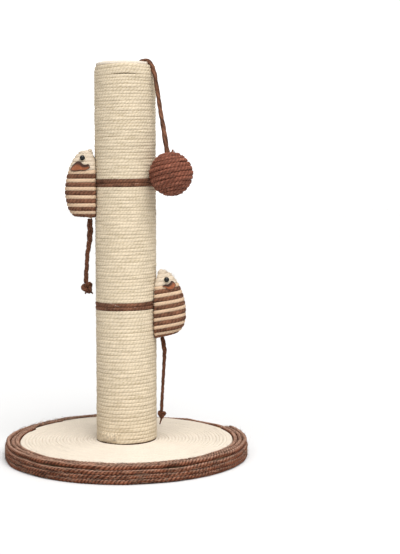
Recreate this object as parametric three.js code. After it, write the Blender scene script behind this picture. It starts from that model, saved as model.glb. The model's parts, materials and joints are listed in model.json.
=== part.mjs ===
import * as THREE from 'three';

// A cat scratching post: a round base and an upright tube, both wound with sisal rope,
// a rope ball hung over the rim and two rope mice that climb the sides.
// Millimetres, +Z up, the origin in the middle of the underside. The photographed
// front faces -Y, and the mice sit to the left (-X) and to the right (+X).

const GAP = 0.35;

const BASE = {
  boardRadius: 144.2,
  boardBottom: 1.5,
  boardTop: 16.2,
  edgeChamfer: 2,
  feltRadius: 141,
  feltThickness: 1.2,
  boltPocketRadius: 13,
  boltPocketTop: 9.5,
  boltHoleRadius: 4.6,
};

const RIM_ROPE = { sideLoops: 3, topLoops: 3, pitch: 5.2, topPitch: 5.5, outerTopRadius: 144.9, height: 5.3 };
const BASE_ROPE = { loops: 20, outerRadius: 129.8, innerRadius: 37.8, height: 3.9 };

const POST = {
  tubeRadius: 33,
  boreRadius: 29,
  outerRadius: 37.2,
  bottom: 16.5,
  top: 476.6,
  coverTop: 482,
  coverRadius: 36.9,
  plugRadius: 28.3,
  bottomPlugTop: 38,
  topPlugThickness: 18,
};

// The screw, washer and nut that hold the post on its base: radii and heights.
const BOLT = { headRadius: 7, headBottom: 3, headTop: 8, shankRadius: 4, shankTop: 47 };
const WASHER = { innerRadius: 4.5, outerRadius: 12, bottom: 8.3, top: 9.2 };
const NUT = { innerRadius: 5, outerRadius: 8.5, bottom: 38.3, top: 44.8 };

const LOWER_ROPE = { from: 21.2, to: 183, loops: 24 };
const LOWER_BAND = { from: 183, to: 192.8, loops: 2 };
const MIDDLE_ROPE = { from: 192.8, to: 332.1, loops: 24 };
const UPPER_BAND = { from: 332.1, to: 341.8, loops: 2 };
const UPPER_ROPE = { from: 341.8, to: 476.6, loops: 24 };
const BAND_HEIGHT = 4.15;

const BALL = {
  azimuth: -31.5,
  radius: 26.3,
  coreRadius: 20.9,
  coreLatitudeStep: 15,
  centreHeight: 347.5,
  loops: 8,
  firstLatitude: -70,
  latitudeStep: 20,
  loopGap: 1,
};

// The ball rope's route over the top: distance out from the post's axis, and height.
const BALL_ROPE = {
  diameter: 5.6,
  holeOffset: 20,
  holeRadius: 3.6,
  mouthOffset: 21.6,
  mouthRadius: 5.2,
  slotWidth: 6.4,
  cornerOffset: 39.4,
  lyingHeight: 482.6,
  knotRadius: 6,
  topRoute: [
    [20, 463],
    [20, 466.5],
    [20, 470],
    [20, 473],
    [20.1, 475.8],
    [20.6, 478.3],
    [21.7, 480.5],
    [23.4, 481.9],
    [25.8, 482.5],
    [29, 482.6],
    [32.5, 482.6],
  ],
};

const MOUSE = {
  depth: 36.4,
  halfWidth: 19,
  standOff: 1.1,
  ropeHeight: 4.4,
  endMargin: 1.2,
  sideRoundness: 0.77,
  levels: 16,
  firstLevel: 0.8,
  levelPitch: 5,
  loopGap: 0.65,
  brownLevels: [0, 2, 4, 6, 8, 10],
  creamLevels: [1, 3, 5, 7, 9, 11, 12, 13, 14, 15],
};

// The powers round off each body's upper and lower end: 2 is an ellipse, more is blunter.
const LEFT_MOUSE = {
  name: 'left',
  azimuth: 180,
  bottom: 292.5,
  widest: 325.5,
  top: 377.2,
  tilt: 0,
  near: 1,
  upperPower: 2.45,
  lowerPower: 3,
};
const RIGHT_MOUSE = {
  name: 'right',
  azimuth: -8,
  bottom: 147,
  widest: 175,
  top: 231,
  tilt: 0.167,
  near: -1,
  upperPower: 1.9,
  lowerPower: 3,
};

// Tail routes: distance out from the post's surface, and height.
const LEFT_TAIL = {
  diameter: 6.2,
  pivot: [6.4, 288.2],
  route: [
    [6.3, 284.1],
    [6.2, 280],
    [6.3, 276],
    [6.5, 272],
    [6.9, 267.5],
    [7.5, 263],
    [8.2, 258.5],
    [9, 254],
    [9.7, 249.5],
    [10.1, 245],
    [10.3, 240.5],
    [10.5, 236],
    [10.9, 231.5],
    [11.3, 227],
    [11.6, 222.5],
    [11.6, 218.5],
    [11.3, 214.4],
  ],
  knot: [[0, 0], [3.6, 0.4], [6.6, 4], [7.2, 7.6], [5.4, 11.4], [3, 13.4], [0, 13.4]],
  knotBottom: 200.6,
  knotOffset: 10,
};
const RIGHT_TAIL = {
  diameter: 5,
  pivot: [8.1, 143.4],
  route: [
    [8.6, 139.4],
    [9.3, 136.5],
    [9.8, 133],
    [10, 128.5],
    [9.9, 124],
    [9.6, 118],
    [9.2, 112],
    [8.8, 105],
    [8.4, 98],
    [8, 91],
    [7.6, 84],
    [7.2, 77],
    [6.8, 70],
    [6.4, 63],
    [6.2, 55.6],
  ],
  knot: [[0, 0], [1.1, 0.6], [2, 7], [4.5, 9.6], [4.8, 12.6], [3.4, 15.8], [2, 17], [0, 17]],
  knotBottom: 38.2,
  knotOffset: 6,
};
const TAIL_ROOT_RADIUS = 3.7;

const EYE = {
  radius: 3.2,
  height: 3.4,
  up: 74.6,
  share: 0.3,
  lift: 1.2,
  dome: [[0, 0], [0.8, 0], [1, 0.35], [0.75, 0.8], [0, 1]],
};
const EAR = {
  from: 0.02,
  to: 0.85,
  up: 64.5,
  halfHeight: 5.6,
  thickness: 1.6,
  lift: 0.5,
  flare: 1,
  tip: 0.6,
  roundness: 0.6,
  columns: 7,
};
const GLUE_PAD = { halfWidth: 11, length: 44, arcSteps: 6 };

const ROUND_SIDES = 20;
const HOLE_SIDES = 12;
const POST_SIDES = 10;
const BASE_SIDES = 24;
const SPIRAL_SIDES = 14;
const BALL_SIDES = 8;
const LOOP_GAP = 0.55;

const SISAL = { color: 0xd9c3a3, roughness: 0.95, metalness: 0 };
const PALE_SISAL = { color: 0xf1e6d2, roughness: 0.95, metalness: 0 };
const BROWN_SISAL = { color: 0x7d4a39, roughness: 0.92, metalness: 0 };
const BOARD = { color: 0xb08a5c, roughness: 0.85, metalness: 0 };
const WOOD = { color: 0xcfa773, roughness: 0.8, metalness: 0 };
const CARDBOARD = { color: 0xa98558, roughness: 0.9, metalness: 0 };
const FELT = { color: 0x3f3a36, roughness: 1, metalness: 0 };
const STEEL = { color: 0xb9bcc0, roughness: 0.35, metalness: 1 };
const SUEDE = { color: 0x8c4a24, roughness: 0.9, metalness: 0 };
const BEAD = { color: 0x0b0a0a, roughness: 0.15, metalness: 0 };
const GLUE = { color: 0xe6d9b8, roughness: 0.4, metalness: 0 };

const degrees = THREE.MathUtils.degToRad;
const post = new THREE.Group();

function addPiece(parent, name, geometry, finish) {
  const mesh = new THREE.Mesh(facingOut(geometry), new THREE.MeshStandardMaterial(finish));
  mesh.name = name;
  parent.add(mesh);
  return mesh;
}

// ---- solids ----

function signedVolume(position, index) {
  const a = new THREE.Vector3();
  const b = new THREE.Vector3();
  const c = new THREE.Vector3();
  let six = 0;
  for (let i = 0; i < index.length; i += 3) {
    a.fromBufferAttribute(position, index[i]);
    b.fromBufferAttribute(position, index[i + 1]);
    c.fromBufferAttribute(position, index[i + 2]);
    six += a.dot(b.cross(c));
  }
  return six / 6;
}

// The same solid with every face turned outwards.
function facingOut(geometry) {
  const position = geometry.getAttribute('position');
  const index = geometry.index
    ? Array.from(geometry.index.array)
    : Array.from({ length: position.count }, (_, i) => i);
  if (signedVolume(position, index) < 0) {
    for (let i = 0; i < index.length; i += 3) {
      [index[i + 1], index[i + 2]] = [index[i + 2], index[i + 1]];
    }
    geometry.setIndex(index);
  }
  return geometry;
}

// A profile of [radius, height] points turned about +Z, with a corner at azimuth 0.
function turned(profile, sides) {
  const points = profile.map(([radius, height]) => new THREE.Vector2(radius, height));
  return new THREE.LatheGeometry(points, sides, Math.PI / 2).rotateX(Math.PI / 2);
}

function turnedRing(innerRadius, outerRadius, bottom, top, sides) {
  const profile = [[innerRadius, bottom], [outerRadius, bottom], [outerRadius, top], [innerRadius, top]];
  return turned([...profile, profile[0]], sides);
}

function polygonPath(PathClass, radius, sides, x = 0, y = 0) {
  const corners = [];
  for (let i = 0; i < sides; i += 1) {
    const angle = (i / sides) * 2 * Math.PI;
    corners.push(new THREE.Vector2(x + radius * Math.cos(angle), y + radius * Math.sin(angle)));
  }
  return new PathClass(corners);
}

// A flat prism of a regular outline with one regular hole, which may stand off the axis.
function prismWithHole(outer, hole, bottom, top) {
  const shape = polygonPath(THREE.Shape, outer.radius, outer.sides);
  shape.holes.push(polygonPath(THREE.Path, hole.radius, hole.sides, hole.x, hole.y));
  const prism = new THREE.ExtrudeGeometry(shape, { depth: top - bottom, bevelEnabled: false });
  return prism.translate(0, 0, bottom);
}

// The cover of the post's top: a disc with a round mouth for the ball rope and a slot to its edge.
function slottedCover() {
  const halfSlot = BALL_ROPE.slotWidth / 2;
  const edgeAngle = Math.asin(halfSlot / POST.coverRadius);
  const mouthAngle = Math.asin(halfSlot / BALL_ROPE.mouthRadius);
  const outline = new THREE.Shape();
  outline.absarc(0, 0, POST.coverRadius, edgeAngle, 2 * Math.PI - edgeAngle, false);
  outline.absarc(BALL_ROPE.mouthOffset, 0, BALL_ROPE.mouthRadius, -mouthAngle, mouthAngle, true);
  const bottom = POST.top + GAP;
  const depth = POST.coverTop - bottom;
  const settings = { depth, bevelEnabled: false, curveSegments: HOLE_SIDES };
  const cover = new THREE.ExtrudeGeometry(outline, settings);
  return cover.rotateZ(degrees(BALL.azimuth)).translate(0, 0, bottom);
}

// A knot or a bend of rope, as a ball.
function ropeBall(radius) {
  return new THREE.SphereGeometry(radius, 10, 6);
}

// A round rope along a smooth route of points.
function ropeAlong(points, diameter, steps) {
  const section = polygonPath(THREE.Shape, diameter / 2, 8);
  const extrudePath = new THREE.CatmullRomCurve3(points, false, 'centripetal');
  return new THREE.ExtrudeGeometry(section, { steps, extrudePath, bevelEnabled: false });
}

// One unbroken tube through rings of points, with a flat cap on each end.
function tubeThrough(rings) {
  const sides = rings[0].length;
  const positions = rings.flat().flatMap((point) => point.toArray());
  const index = [];
  for (let ring = 0; ring + 1 < rings.length; ring += 1) {
    for (let side = 0; side < sides; side += 1) {
      const here = ring * sides + side;
      const next = ring * sides + ((side + 1) % sides);
      index.push(here, next, here + sides, next, next + sides, here + sides);
    }
  }
  const last = (rings.length - 1) * sides;
  for (let side = 1; side + 1 < sides; side += 1) {
    index.push(0, side + 1, side, last, last + side, last + side + 1);
  }
  const geometry = new THREE.BufferGeometry();
  geometry.setAttribute('position', new THREE.Float32BufferAttribute(positions, 3));
  geometry.setIndex(index);
  return geometry;
}

// ---- wound rope ----

// The three corners of a wound rope where it crosses a half plane through the axis:
// a flat foot on what it is wound round, and a ridge that faces away from it.
function ropeSection(azimuth, radius, height, facing, width, ridge) {
  const outward = [Math.cos(facing), Math.sin(facing)];
  const corner = (across, up) => {
    const r = radius + outward[0] * up - outward[1] * across;
    return new THREE.Vector3(
      r * Math.cos(azimuth),
      r * Math.sin(azimuth),
      height + outward[1] * up + outward[0] * across,
    );
  };
  return [corner(-width / 2, 0), corner(width / 2, 0), corner(0, ridge)];
}

// Rings of a winding: each loop keeps its level and steps to the next behind the post.
function windingRings(loops, sides, sectionAt) {
  const rings = [];
  const firstAzimuth = Math.ceil(sides / 4 + 0.001) / sides;
  for (let step = 0; step < loops * sides; step += 1) {
    const azimuth = (firstAzimuth + step / sides) * 2 * Math.PI;
    rings.push(sectionAt(Math.floor(step / sides), azimuth, step % sides));
  }
  return rings;
}

// The least distance between points on stretches of the rope half a loop apart or more.
function leastGap(rings, sides) {
  const samples = 4;
  const points = [];
  for (let ring = 0; ring + 1 < rings.length; ring += 1) {
    for (let sample = 0; sample < samples; sample += 1) {
      const share = sample / samples;
      const section = rings[ring].map((corner, i) => corner.clone().lerp(rings[ring + 1][i], share));
      section.forEach((corner, i) => {
        const middle = corner.clone().lerp(section[(i + 1) % section.length], 0.5);
        points.push([ring, corner], [ring, middle]);
      });
    }
  }
  let least = Infinity;
  for (let i = 0; i < points.length; i += 1) {
    for (let j = i + 1; j < points.length; j += 1) {
      if (points[j][0] - points[i][0] >= sides / 2) {
        least = Math.min(least, points[i][1].distanceToSquared(points[j][1]));
      }
    }
  }
  return Math.sqrt(least);
}

function addWinding(parent, name, rings, sides, finish) {
  const gap = leastGap(rings, sides);
  console.log(`${name}: least gap to itself ${gap.toFixed(2)} mm`);
  addPiece(parent, name, tubeThrough(rings), finish);
}

// Loops stacked up the post between two heights.
function postWinding(name, { from, to, loops }, ridge, finish) {
  const pitch = (to - from) / loops;
  const rings = windingRings(loops, POST_SIDES, (loop, azimuth) => {
    const height = from + (loop + 0.5) * pitch;
    return ropeSection(azimuth, POST.tubeRadius + GAP, height, 0, pitch - LOOP_GAP, ridge);
  });
  addWinding(post, name, rings, POST_SIDES, finish);
}

// ---- base ----

function addBase() {
  addPiece(
    post,
    'underside_felt',
    turnedRing(BASE.boltPocketRadius + 1, BASE.feltRadius, 0, BASE.feltThickness, BASE_SIDES),
    FELT,
  );
  const board = [
    [BASE.boltHoleRadius, BASE.boltPocketTop],
    [BASE.boltPocketRadius, BASE.boltPocketTop],
    [BASE.boltPocketRadius, BASE.boardBottom],
    [BASE.boardRadius, BASE.boardBottom],
    [BASE.boardRadius, BASE.boardTop - BASE.edgeChamfer],
    [BASE.boardRadius - BASE.edgeChamfer, BASE.boardTop],
    [BASE.boltHoleRadius, BASE.boardTop],
    [BASE.boltHoleRadius, BASE.boltPocketTop],
  ];
  addPiece(post, 'base_board', turned(board, BASE_SIDES), BOARD);

  // On top each loop steps inwards a little early, which leaves room for the rope
  // that climbs over the board's edge there.
  const { sideLoops, topLoops, pitch, topPitch, outerTopRadius, height } = RIM_ROPE;
  const early = 2;
  const rimRings = windingRings(sideLoops + topLoops, BASE_SIDES, (loop, azimuth, step) => {
    if (loop < sideLoops) {
      const level = BASE.boardTop - GAP / 2 - (sideLoops - loop - 0.5) * pitch;
      return ropeSection(azimuth, BASE.boardRadius + GAP, level, 0, pitch - LOOP_GAP, height);
    }
    const topLoop = loop - sideLoops + (step >= BASE_SIDES - early ? 1 : 0);
    const radius = outerTopRadius - topLoop * topPitch;
    return ropeSection(azimuth, radius, BASE.boardTop + GAP, Math.PI / 2, topPitch - LOOP_GAP, height);
  });
  addWinding(post, 'base_rim_rope', rimRings.slice(0, -early), BASE_SIDES, BROWN_SISAL);

  const spiralPitch = (BASE_ROPE.outerRadius - BASE_ROPE.innerRadius) / BASE_ROPE.loops;
  const topRings = windingRings(BASE_ROPE.loops, SPIRAL_SIDES, (loop, azimuth) => {
    const radius = BASE_ROPE.outerRadius - (loop + 0.5) * spiralPitch;
    const width = spiralPitch - LOOP_GAP;
    return ropeSection(azimuth, radius, BASE.boardTop + GAP, Math.PI / 2, width, BASE_ROPE.height);
  });
  addWinding(post, 'base_top_rope', topRings, SPIRAL_SIDES, PALE_SISAL);
}

// ---- post ----

function addPost() {
  const bolt = [
    [0, BOLT.headBottom],
    [BOLT.headRadius, BOLT.headBottom],
    [BOLT.headRadius, BOLT.headTop],
    [BOLT.shankRadius, BOLT.headTop],
    [BOLT.shankRadius, BOLT.shankTop],
    [0, BOLT.shankTop],
  ];
  addPiece(post, 'centre_bolt', turned(bolt, HOLE_SIDES), STEEL);
  const washer = turnedRing(WASHER.innerRadius, WASHER.outerRadius, WASHER.bottom, WASHER.top, HOLE_SIDES);
  addPiece(post, 'bolt_washer', washer, STEEL);
  const { plugRadius } = POST;
  const boltHole = BASE.boltHoleRadius;
  const bottomPlug = turnedRing(boltHole, plugRadius, POST.bottom, POST.bottomPlugTop, ROUND_SIDES);
  addPiece(post, 'bottom_plug', bottomPlug, WOOD);
  const hexagon = 6;
  const nut = turnedRing(NUT.innerRadius, NUT.outerRadius, NUT.bottom, NUT.top, hexagon);
  addPiece(post, 'bolt_nut', nut, STEEL);
  const tube = { radius: POST.tubeRadius, sides: POST_SIDES };
  const bore = { radius: POST.boreRadius, sides: ROUND_SIDES, x: 0, y: 0 };
  addPiece(post, 'post_tube', prismWithHole(tube, bore, POST.bottom, POST.top), CARDBOARD);

  const ropeHole = {
    radius: BALL_ROPE.holeRadius,
    sides: HOLE_SIDES,
    x: BALL_ROPE.holeOffset * Math.cos(degrees(BALL.azimuth)),
    y: BALL_ROPE.holeOffset * Math.sin(degrees(BALL.azimuth)),
  };
  const plug = { radius: plugRadius, sides: ROUND_SIDES };
  const topPlug = prismWithHole(plug, ropeHole, POST.top - POST.topPlugThickness, POST.top);
  addPiece(post, 'top_plug', topPlug, WOOD);
  addPiece(post, 'top_rope', slottedCover(), SISAL);

  const ridge = POST.outerRadius - POST.tubeRadius - GAP;
  postWinding('lower_rope', LOWER_ROPE, ridge, SISAL);
  postWinding('lower_band', LOWER_BAND, BAND_HEIGHT, BROWN_SISAL);
  postWinding('middle_rope', MIDDLE_ROPE, ridge, SISAL);
  postWinding('upper_band', UPPER_BAND, BAND_HEIGHT, BROWN_SISAL);
  postWinding('upper_rope', UPPER_ROPE, ridge, SISAL);
}

// ---- ball and its rope ----

function addBall() {
  const side = new THREE.Group();
  side.rotation.z = degrees(BALL.azimuth);
  post.add(side);
  const inPlane = ([out, up]) => new THREE.Vector3(out, 0, up);
  const ropeRadius = BALL_ROPE.diameter / 2;
  const clear = ropeRadius + GAP;
  const corner = new THREE.Vector3(BALL_ROPE.cornerOffset, 0, BALL_ROPE.lyingHeight);
  const centre = new THREE.Vector3(POST.outerRadius + BALL.radius + GAP, 0, BALL.centreHeight);
  const down = centre.clone().sub(corner).normalize();

  const knotCentre = POST.top - POST.topPlugThickness - GAP - BALL_ROPE.knotRadius;
  const knot = addPiece(side, 'ball_rope_knot', ropeBall(BALL_ROPE.knotRadius), BROWN_SISAL);
  knot.position.set(BALL_ROPE.holeOffset, 0, knotCentre);

  const lying = [
    [BALL_ROPE.holeOffset, knotCentre + BALL_ROPE.knotRadius + GAP],
    ...BALL_ROPE.topRoute,
    [corner.x - clear, corner.z],
  ];
  addPiece(side, 'ball_rope_top', ropeAlong(lying.map(inPlane), BALL_ROPE.diameter, 14), BROWN_SISAL);

  const bend = addPiece(side, 'ball_rope_bend', ropeBall(ropeRadius), BROWN_SISAL);
  bend.position.copy(corner);

  const hangingLength = corner.distanceTo(centre) - BALL.coreRadius - GAP;
  const hanging = [];
  for (let i = 0; i <= 8; i += 1) {
    hanging.push(corner.clone().addScaledVector(down, clear + ((hangingLength - clear) * i) / 8));
  }
  addPiece(side, 'ball_rope', ropeAlong(hanging, BALL_ROPE.diameter, 8), BROWN_SISAL);

  const ball = new THREE.Group();
  ball.position.copy(centre);
  ball.quaternion.setFromUnitVectors(new THREE.Vector3(0, 0, -1), down);
  side.add(ball);
  const corePoints = [];
  for (let latitude = -90; latitude <= 90; latitude += BALL.coreLatitudeStep) {
    const angle = degrees(latitude);
    corePoints.push([Math.max(BALL.coreRadius * Math.cos(angle), 0), BALL.coreRadius * Math.sin(angle)]);
  }
  addPiece(ball, 'ball_core', turned(corePoints, BALL_SIDES), WOOD);
  const footRadius = BALL.coreRadius + GAP;
  const width = 2 * footRadius * Math.tan(degrees(BALL.latitudeStep / 2)) - BALL.loopGap;
  const rings = windingRings(BALL.loops, BALL_SIDES, (loop, azimuth) => {
    const latitude = degrees(BALL.firstLatitude + loop * BALL.latitudeStep);
    const radius = footRadius * Math.cos(latitude);
    const height = footRadius * Math.sin(latitude);
    return ropeSection(azimuth, radius, height, latitude, width, BALL.radius - footRadius);
  });
  addWinding(ball, 'ball_winding', rings, BALL_SIDES, BROWN_SISAL);
}

// ---- mice ----

// Half of a mouse's cross section, as shares of its depth and of its half width:
// a flat belly towards the post and a full back.
const SECTION = [
  [0, 0.68],
  [0.36, 1],
  [0.76, 0.78],
  [1, 0.3],
  [1, -0.3],
  [0.76, -0.78],
  [0.36, -1],
  [0, -0.68],
];

// How full the body is at a height: 1 where it is widest and 0 at its ends.
function fullness(mouse, height) {
  const above = height > mouse.widest;
  const end = above ? mouse.top - MOUSE.endMargin : mouse.bottom + MOUSE.endMargin;
  const power = above ? mouse.upperPower : mouse.lowerPower;
  const share = Math.min((height - mouse.widest) / (end - mouse.widest), 1);
  return (1 - share ** power) ** (1 / power);
}

// A point over the surface that the mouse's rope is wound on.
function bodyPoint(mouse, height, corner, lift) {
  const innerDepth = MOUSE.depth - MOUSE.standOff - 2 * MOUSE.ropeHeight;
  const innerHalfWidth = MOUSE.halfWidth - MOUSE.ropeHeight;
  const full = fullness(mouse, height);
  const place = ([depthShare, widthShare], share) => [
    depthShare * innerDepth * share,
    widthShare * innerHalfWidth * share,
  ];
  const [out, along] = place(SECTION[corner], full);
  const previous = place(SECTION[(corner + 7) % 8], full);
  const next = place(SECTION[(corner + 1) % 8], full);
  const normal = new THREE.Vector2(previous[1] - next[1], next[0] - previous[0]).normalize();
  const rise = 0.01;
  const [outAbove, alongAbove] = place(SECTION[corner], fullness(mouse, height + rise));
  const slope = ((outAbove - out) * normal.x + (alongAbove - along) * normal.y) / rise;
  const length = Math.hypot(1, slope);
  const bellyOffset = POST.outerRadius + MOUSE.standOff + MOUSE.ropeHeight;
  const x = bellyOffset + out + (normal.x * lift) / length;
  const y = along + (normal.y * lift) / length;
  const z = height - (slope * lift) / length;
  return new THREE.Vector3(x, y, z + mouse.tilt * (x - bellyOffset));
}

function mouseLevel(mouse, level) {
  return mouse.bottom + MOUSE.endMargin + MOUSE.firstLevel + (level + 0.5) * MOUSE.levelPitch;
}

function mouseWinding(mouse, group, name, levels, finish) {
  const half = (MOUSE.levelPitch - MOUSE.loopGap) / 2;
  const rings = windingRings(levels.length, SECTION.length, (loop, azimuth, corner) => {
    const height = mouseLevel(mouse, levels[loop]);
    return [
      bodyPoint(mouse, height - half, corner, 0),
      bodyPoint(mouse, height + half, corner, 0),
      bodyPoint(mouse, height, corner, MOUSE.ropeHeight),
    ];
  });
  addWinding(group, name, rings, SECTION.length, finish);
}

// The stuffed body under the rope, as cross sections that change between the loops.
function mouseCore(mouse) {
  const rings = [];
  for (let layer = 0; layer <= MOUSE.levels; layer += 1) {
    const height = mouseLevel(mouse, layer - 0.5);
    rings.push(SECTION.map((_, corner) => bodyPoint(mouse, height, corner, -GAP)));
  }
  return tubeThrough(rings);
}

// A bead with a flat back, seen from the side of the head.
function eyeGeometry() {
  const sides = 10;
  return turned(EYE.dome.map(([across, up]) => [across * EYE.radius, up * EYE.height]), sides);
}

// The outline of the wound rope on one side of a mouse, from the belly (0) to the back (1).
function sideOutline(mouse, share, height, lift) {
  const angle = (share * Math.PI) / 2;
  const full = fullness(mouse, height);
  const depth = MOUSE.depth - MOUSE.standOff - 2 * MOUSE.ropeHeight;
  const width = MOUSE.halfWidth - MOUSE.ropeHeight;
  const reach = MOUSE.ropeHeight + lift;
  const belly = MOUSE.standOff + MOUSE.ropeHeight;
  const out = depth * full * Math.sin(angle) ** MOUSE.sideRoundness + reach * Math.sin(angle);
  const along = width * full * Math.cos(angle) ** MOUSE.sideRoundness + reach * Math.cos(angle);
  return new THREE.Vector3(POST.outerRadius + belly + out, mouse.near * along, height + mouse.tilt * out);
}

// A suede ear: a leaf bent round the side of the head, its upper edge a little off the rope.
function earGeometry(mouse) {
  const middle = mouse.bottom + EAR.up;
  const rings = [];
  for (let column = 0; column <= EAR.columns; column += 1) {
    const share = EAR.from + ((EAR.to - EAR.from) * column) / EAR.columns;
    const along = (column + EAR.tip) / (EAR.columns + 2 * EAR.tip);
    const tall = EAR.halfHeight * Math.sin(along * Math.PI) ** EAR.roundness;
    const outer = EAR.lift + EAR.thickness;
    rings.push([
      sideOutline(mouse, share, middle - tall, EAR.lift),
      sideOutline(mouse, share, middle - tall, outer),
      sideOutline(mouse, share, middle + tall, outer + EAR.flare),
      sideOutline(mouse, share, middle + tall, EAR.lift + EAR.flare),
    ]);
  }
  return tubeThrough(rings);
}

// Hot glue between the round post and the mouse's flat belly.
function gluePad(mouse) {
  const { halfWidth, length, arcSteps } = GLUE_PAD;
  const inner = POST.outerRadius + GAP;
  const flat = POST.outerRadius + MOUSE.standOff - GAP;
  const corners = [];
  const halfAngle = Math.asin(halfWidth / inner);
  for (let i = 0; i <= arcSteps; i += 1) {
    const angle = halfAngle * ((2 * i) / arcSteps - 1);
    corners.push(new THREE.Vector2(inner * Math.cos(angle), inner * Math.sin(angle)));
  }
  corners.push(new THREE.Vector2(flat, halfWidth), new THREE.Vector2(flat, -halfWidth));
  const pad = new THREE.ExtrudeGeometry(new THREE.Shape(corners), { depth: length, bevelEnabled: false });
  return pad.translate(0, 0, (mouse.bottom + mouse.top - length) / 2);
}

function mirrored(geometry) {
  return geometry.clone().applyMatrix4(new THREE.Matrix4().makeScale(1, -1, 1));
}

function addTail(mouse, tail, group) {
  const at = ([out, height]) => new THREE.Vector3(POST.outerRadius + out, 0, height);
  const root = addPiece(group, `${mouse.name}_tail_root`, ropeBall(TAIL_ROOT_RADIUS), BROWN_SISAL);
  root.position.copy(at(tail.pivot));
  const cord = ropeAlong(tail.route.map(at), tail.diameter, 10);
  addPiece(group, `${mouse.name}_tail`, cord, BROWN_SISAL);
  const knot = addPiece(group, `${mouse.name}_tail_knot`, turned(tail.knot, 10), BROWN_SISAL);
  knot.position.copy(at([tail.knotOffset, tail.knotBottom]));
}

function addMouse(mouse, tail) {
  const group = new THREE.Group();
  group.rotation.z = degrees(mouse.azimuth);
  post.add(group);
  const prefix = `${mouse.name}_mouse`;
  addPiece(group, `${prefix}_core`, mouseCore(mouse), PALE_SISAL);
  mouseWinding(mouse, group, `${prefix}_brown_rope`, MOUSE.brownLevels, BROWN_SISAL);
  mouseWinding(mouse, group, `${prefix}_cream_rope`, MOUSE.creamLevels, PALE_SISAL);
  addPiece(group, `${prefix}_glue_pad`, gluePad(mouse), GLUE);

  const eyePlace = sideOutline(mouse, EYE.share, mouse.bottom + EYE.up, EYE.lift);
  const ear = earGeometry(mouse);
  for (const [where, side] of [['front', mouse.near], ['rear', -mouse.near]]) {
    const eye = addPiece(group, `${prefix}_${where}_eye`, eyeGeometry(), BEAD);
    eye.position.set(eyePlace.x, side * Math.abs(eyePlace.y), eyePlace.z);
    eye.rotation.x = -side * Math.PI / 2;
    addPiece(group, `${prefix}_${where}_ear`, where === 'front' ? ear : mirrored(ear), SUEDE);
  }
  addTail(mouse, tail, group);
}

addBase();
addPost();
addBall();
addMouse(LEFT_MOUSE, LEFT_TAIL);
addMouse(RIGHT_MOUSE, RIGHT_TAIL);

export default post;
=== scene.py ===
"""The looks of a cat scratching post, built around its solids and laid out as a Blender add-on.

Metres throughout, +Z up, the photographed front towards -Y.
"""

import json
import math

import bpy
import numpy as np
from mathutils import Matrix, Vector


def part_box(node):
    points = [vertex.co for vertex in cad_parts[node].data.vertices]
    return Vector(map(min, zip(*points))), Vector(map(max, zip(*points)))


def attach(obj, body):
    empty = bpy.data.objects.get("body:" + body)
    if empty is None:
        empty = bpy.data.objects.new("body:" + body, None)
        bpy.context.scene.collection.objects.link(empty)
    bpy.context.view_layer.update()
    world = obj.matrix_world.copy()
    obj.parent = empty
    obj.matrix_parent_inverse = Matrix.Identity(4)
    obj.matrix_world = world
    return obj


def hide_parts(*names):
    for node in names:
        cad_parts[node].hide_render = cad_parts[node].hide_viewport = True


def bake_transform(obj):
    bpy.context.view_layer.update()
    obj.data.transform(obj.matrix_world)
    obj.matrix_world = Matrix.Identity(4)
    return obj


bl_info = {
    "name": "Cat scratching post",
    "version": (1, 0, 0),
    "blender": (4, 5, 0),
    "location": "3D View > Sidebar > Scratching post",
    "description": "Dresses the solids of a scratching post in wound rope, suede and beads",
    "category": "Object",
}

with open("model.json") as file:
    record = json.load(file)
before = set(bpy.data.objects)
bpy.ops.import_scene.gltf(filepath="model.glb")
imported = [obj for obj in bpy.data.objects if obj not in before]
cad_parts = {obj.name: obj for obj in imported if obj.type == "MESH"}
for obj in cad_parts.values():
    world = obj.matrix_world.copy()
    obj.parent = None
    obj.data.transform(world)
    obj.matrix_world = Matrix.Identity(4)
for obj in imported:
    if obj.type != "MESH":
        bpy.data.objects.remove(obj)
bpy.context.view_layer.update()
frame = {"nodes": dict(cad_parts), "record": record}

TAU = 2 * math.pi
ROPE_UV = "RopeUV"
EAR_UV = "EarUV"

# Places that follow the solids.
POST_RADIUS = 0.0372
TUBE_RADIUS = 0.033
BOARD_TOP = 0.0162
COVER_BOTTOM = 0.47695
COVER_TOP = 0.482
BALL_AZIMUTH = math.radians(-31.5)

# The base: the pale spiral's rope, the azimuths between which the rim's top turns run, and where
# the second and the third of them begin.
SPIRAL_THICKNESS = 0.0041
INNER_RIM = (math.radians(98), math.radians(384))
INNER_STARTS = (math.radians(128), math.radians(152))
RIM_TOP_INSIDE = 0.1335

# The post's foot: the azimuths of the frayed rope end, and how far it lifts the lowest turns.
FRAYED_END = (math.radians(218), math.radians(254))
FOOT_LIFT = 0.0011

# The ball rope's route in its own upright plane: distance out from the post's axis, and height.
LYING_ROUTE = [
    (0.0200, 0.4586),
    (0.0200, 0.4630),
    (0.0200, 0.4665),
    (0.0200, 0.4700),
    (0.0200, 0.4730),
    (0.0201, 0.4758),
    (0.0206, 0.4783),
    (0.0217, 0.4805),
    (0.0234, 0.4819),
    (0.0258, 0.4825),
    (0.0290, 0.4826),
    (0.0314, 0.4823),
    (0.0336, 0.4813),
]
EDGE_ROUTE = [
    (0.0336, 0.4813),
    (0.0356, 0.4796),
    (0.0374, 0.4772),
    (0.0388, 0.4743),
    (0.0399, 0.4709),
]
ROPE_CORNER = (0.0394, 0.4826)
BALL_CENTRE = (0.06385, 0.3475)
BALL_RADIUS = 0.0263
BALL_ROPE_DIAMETER = 0.0056

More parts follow.
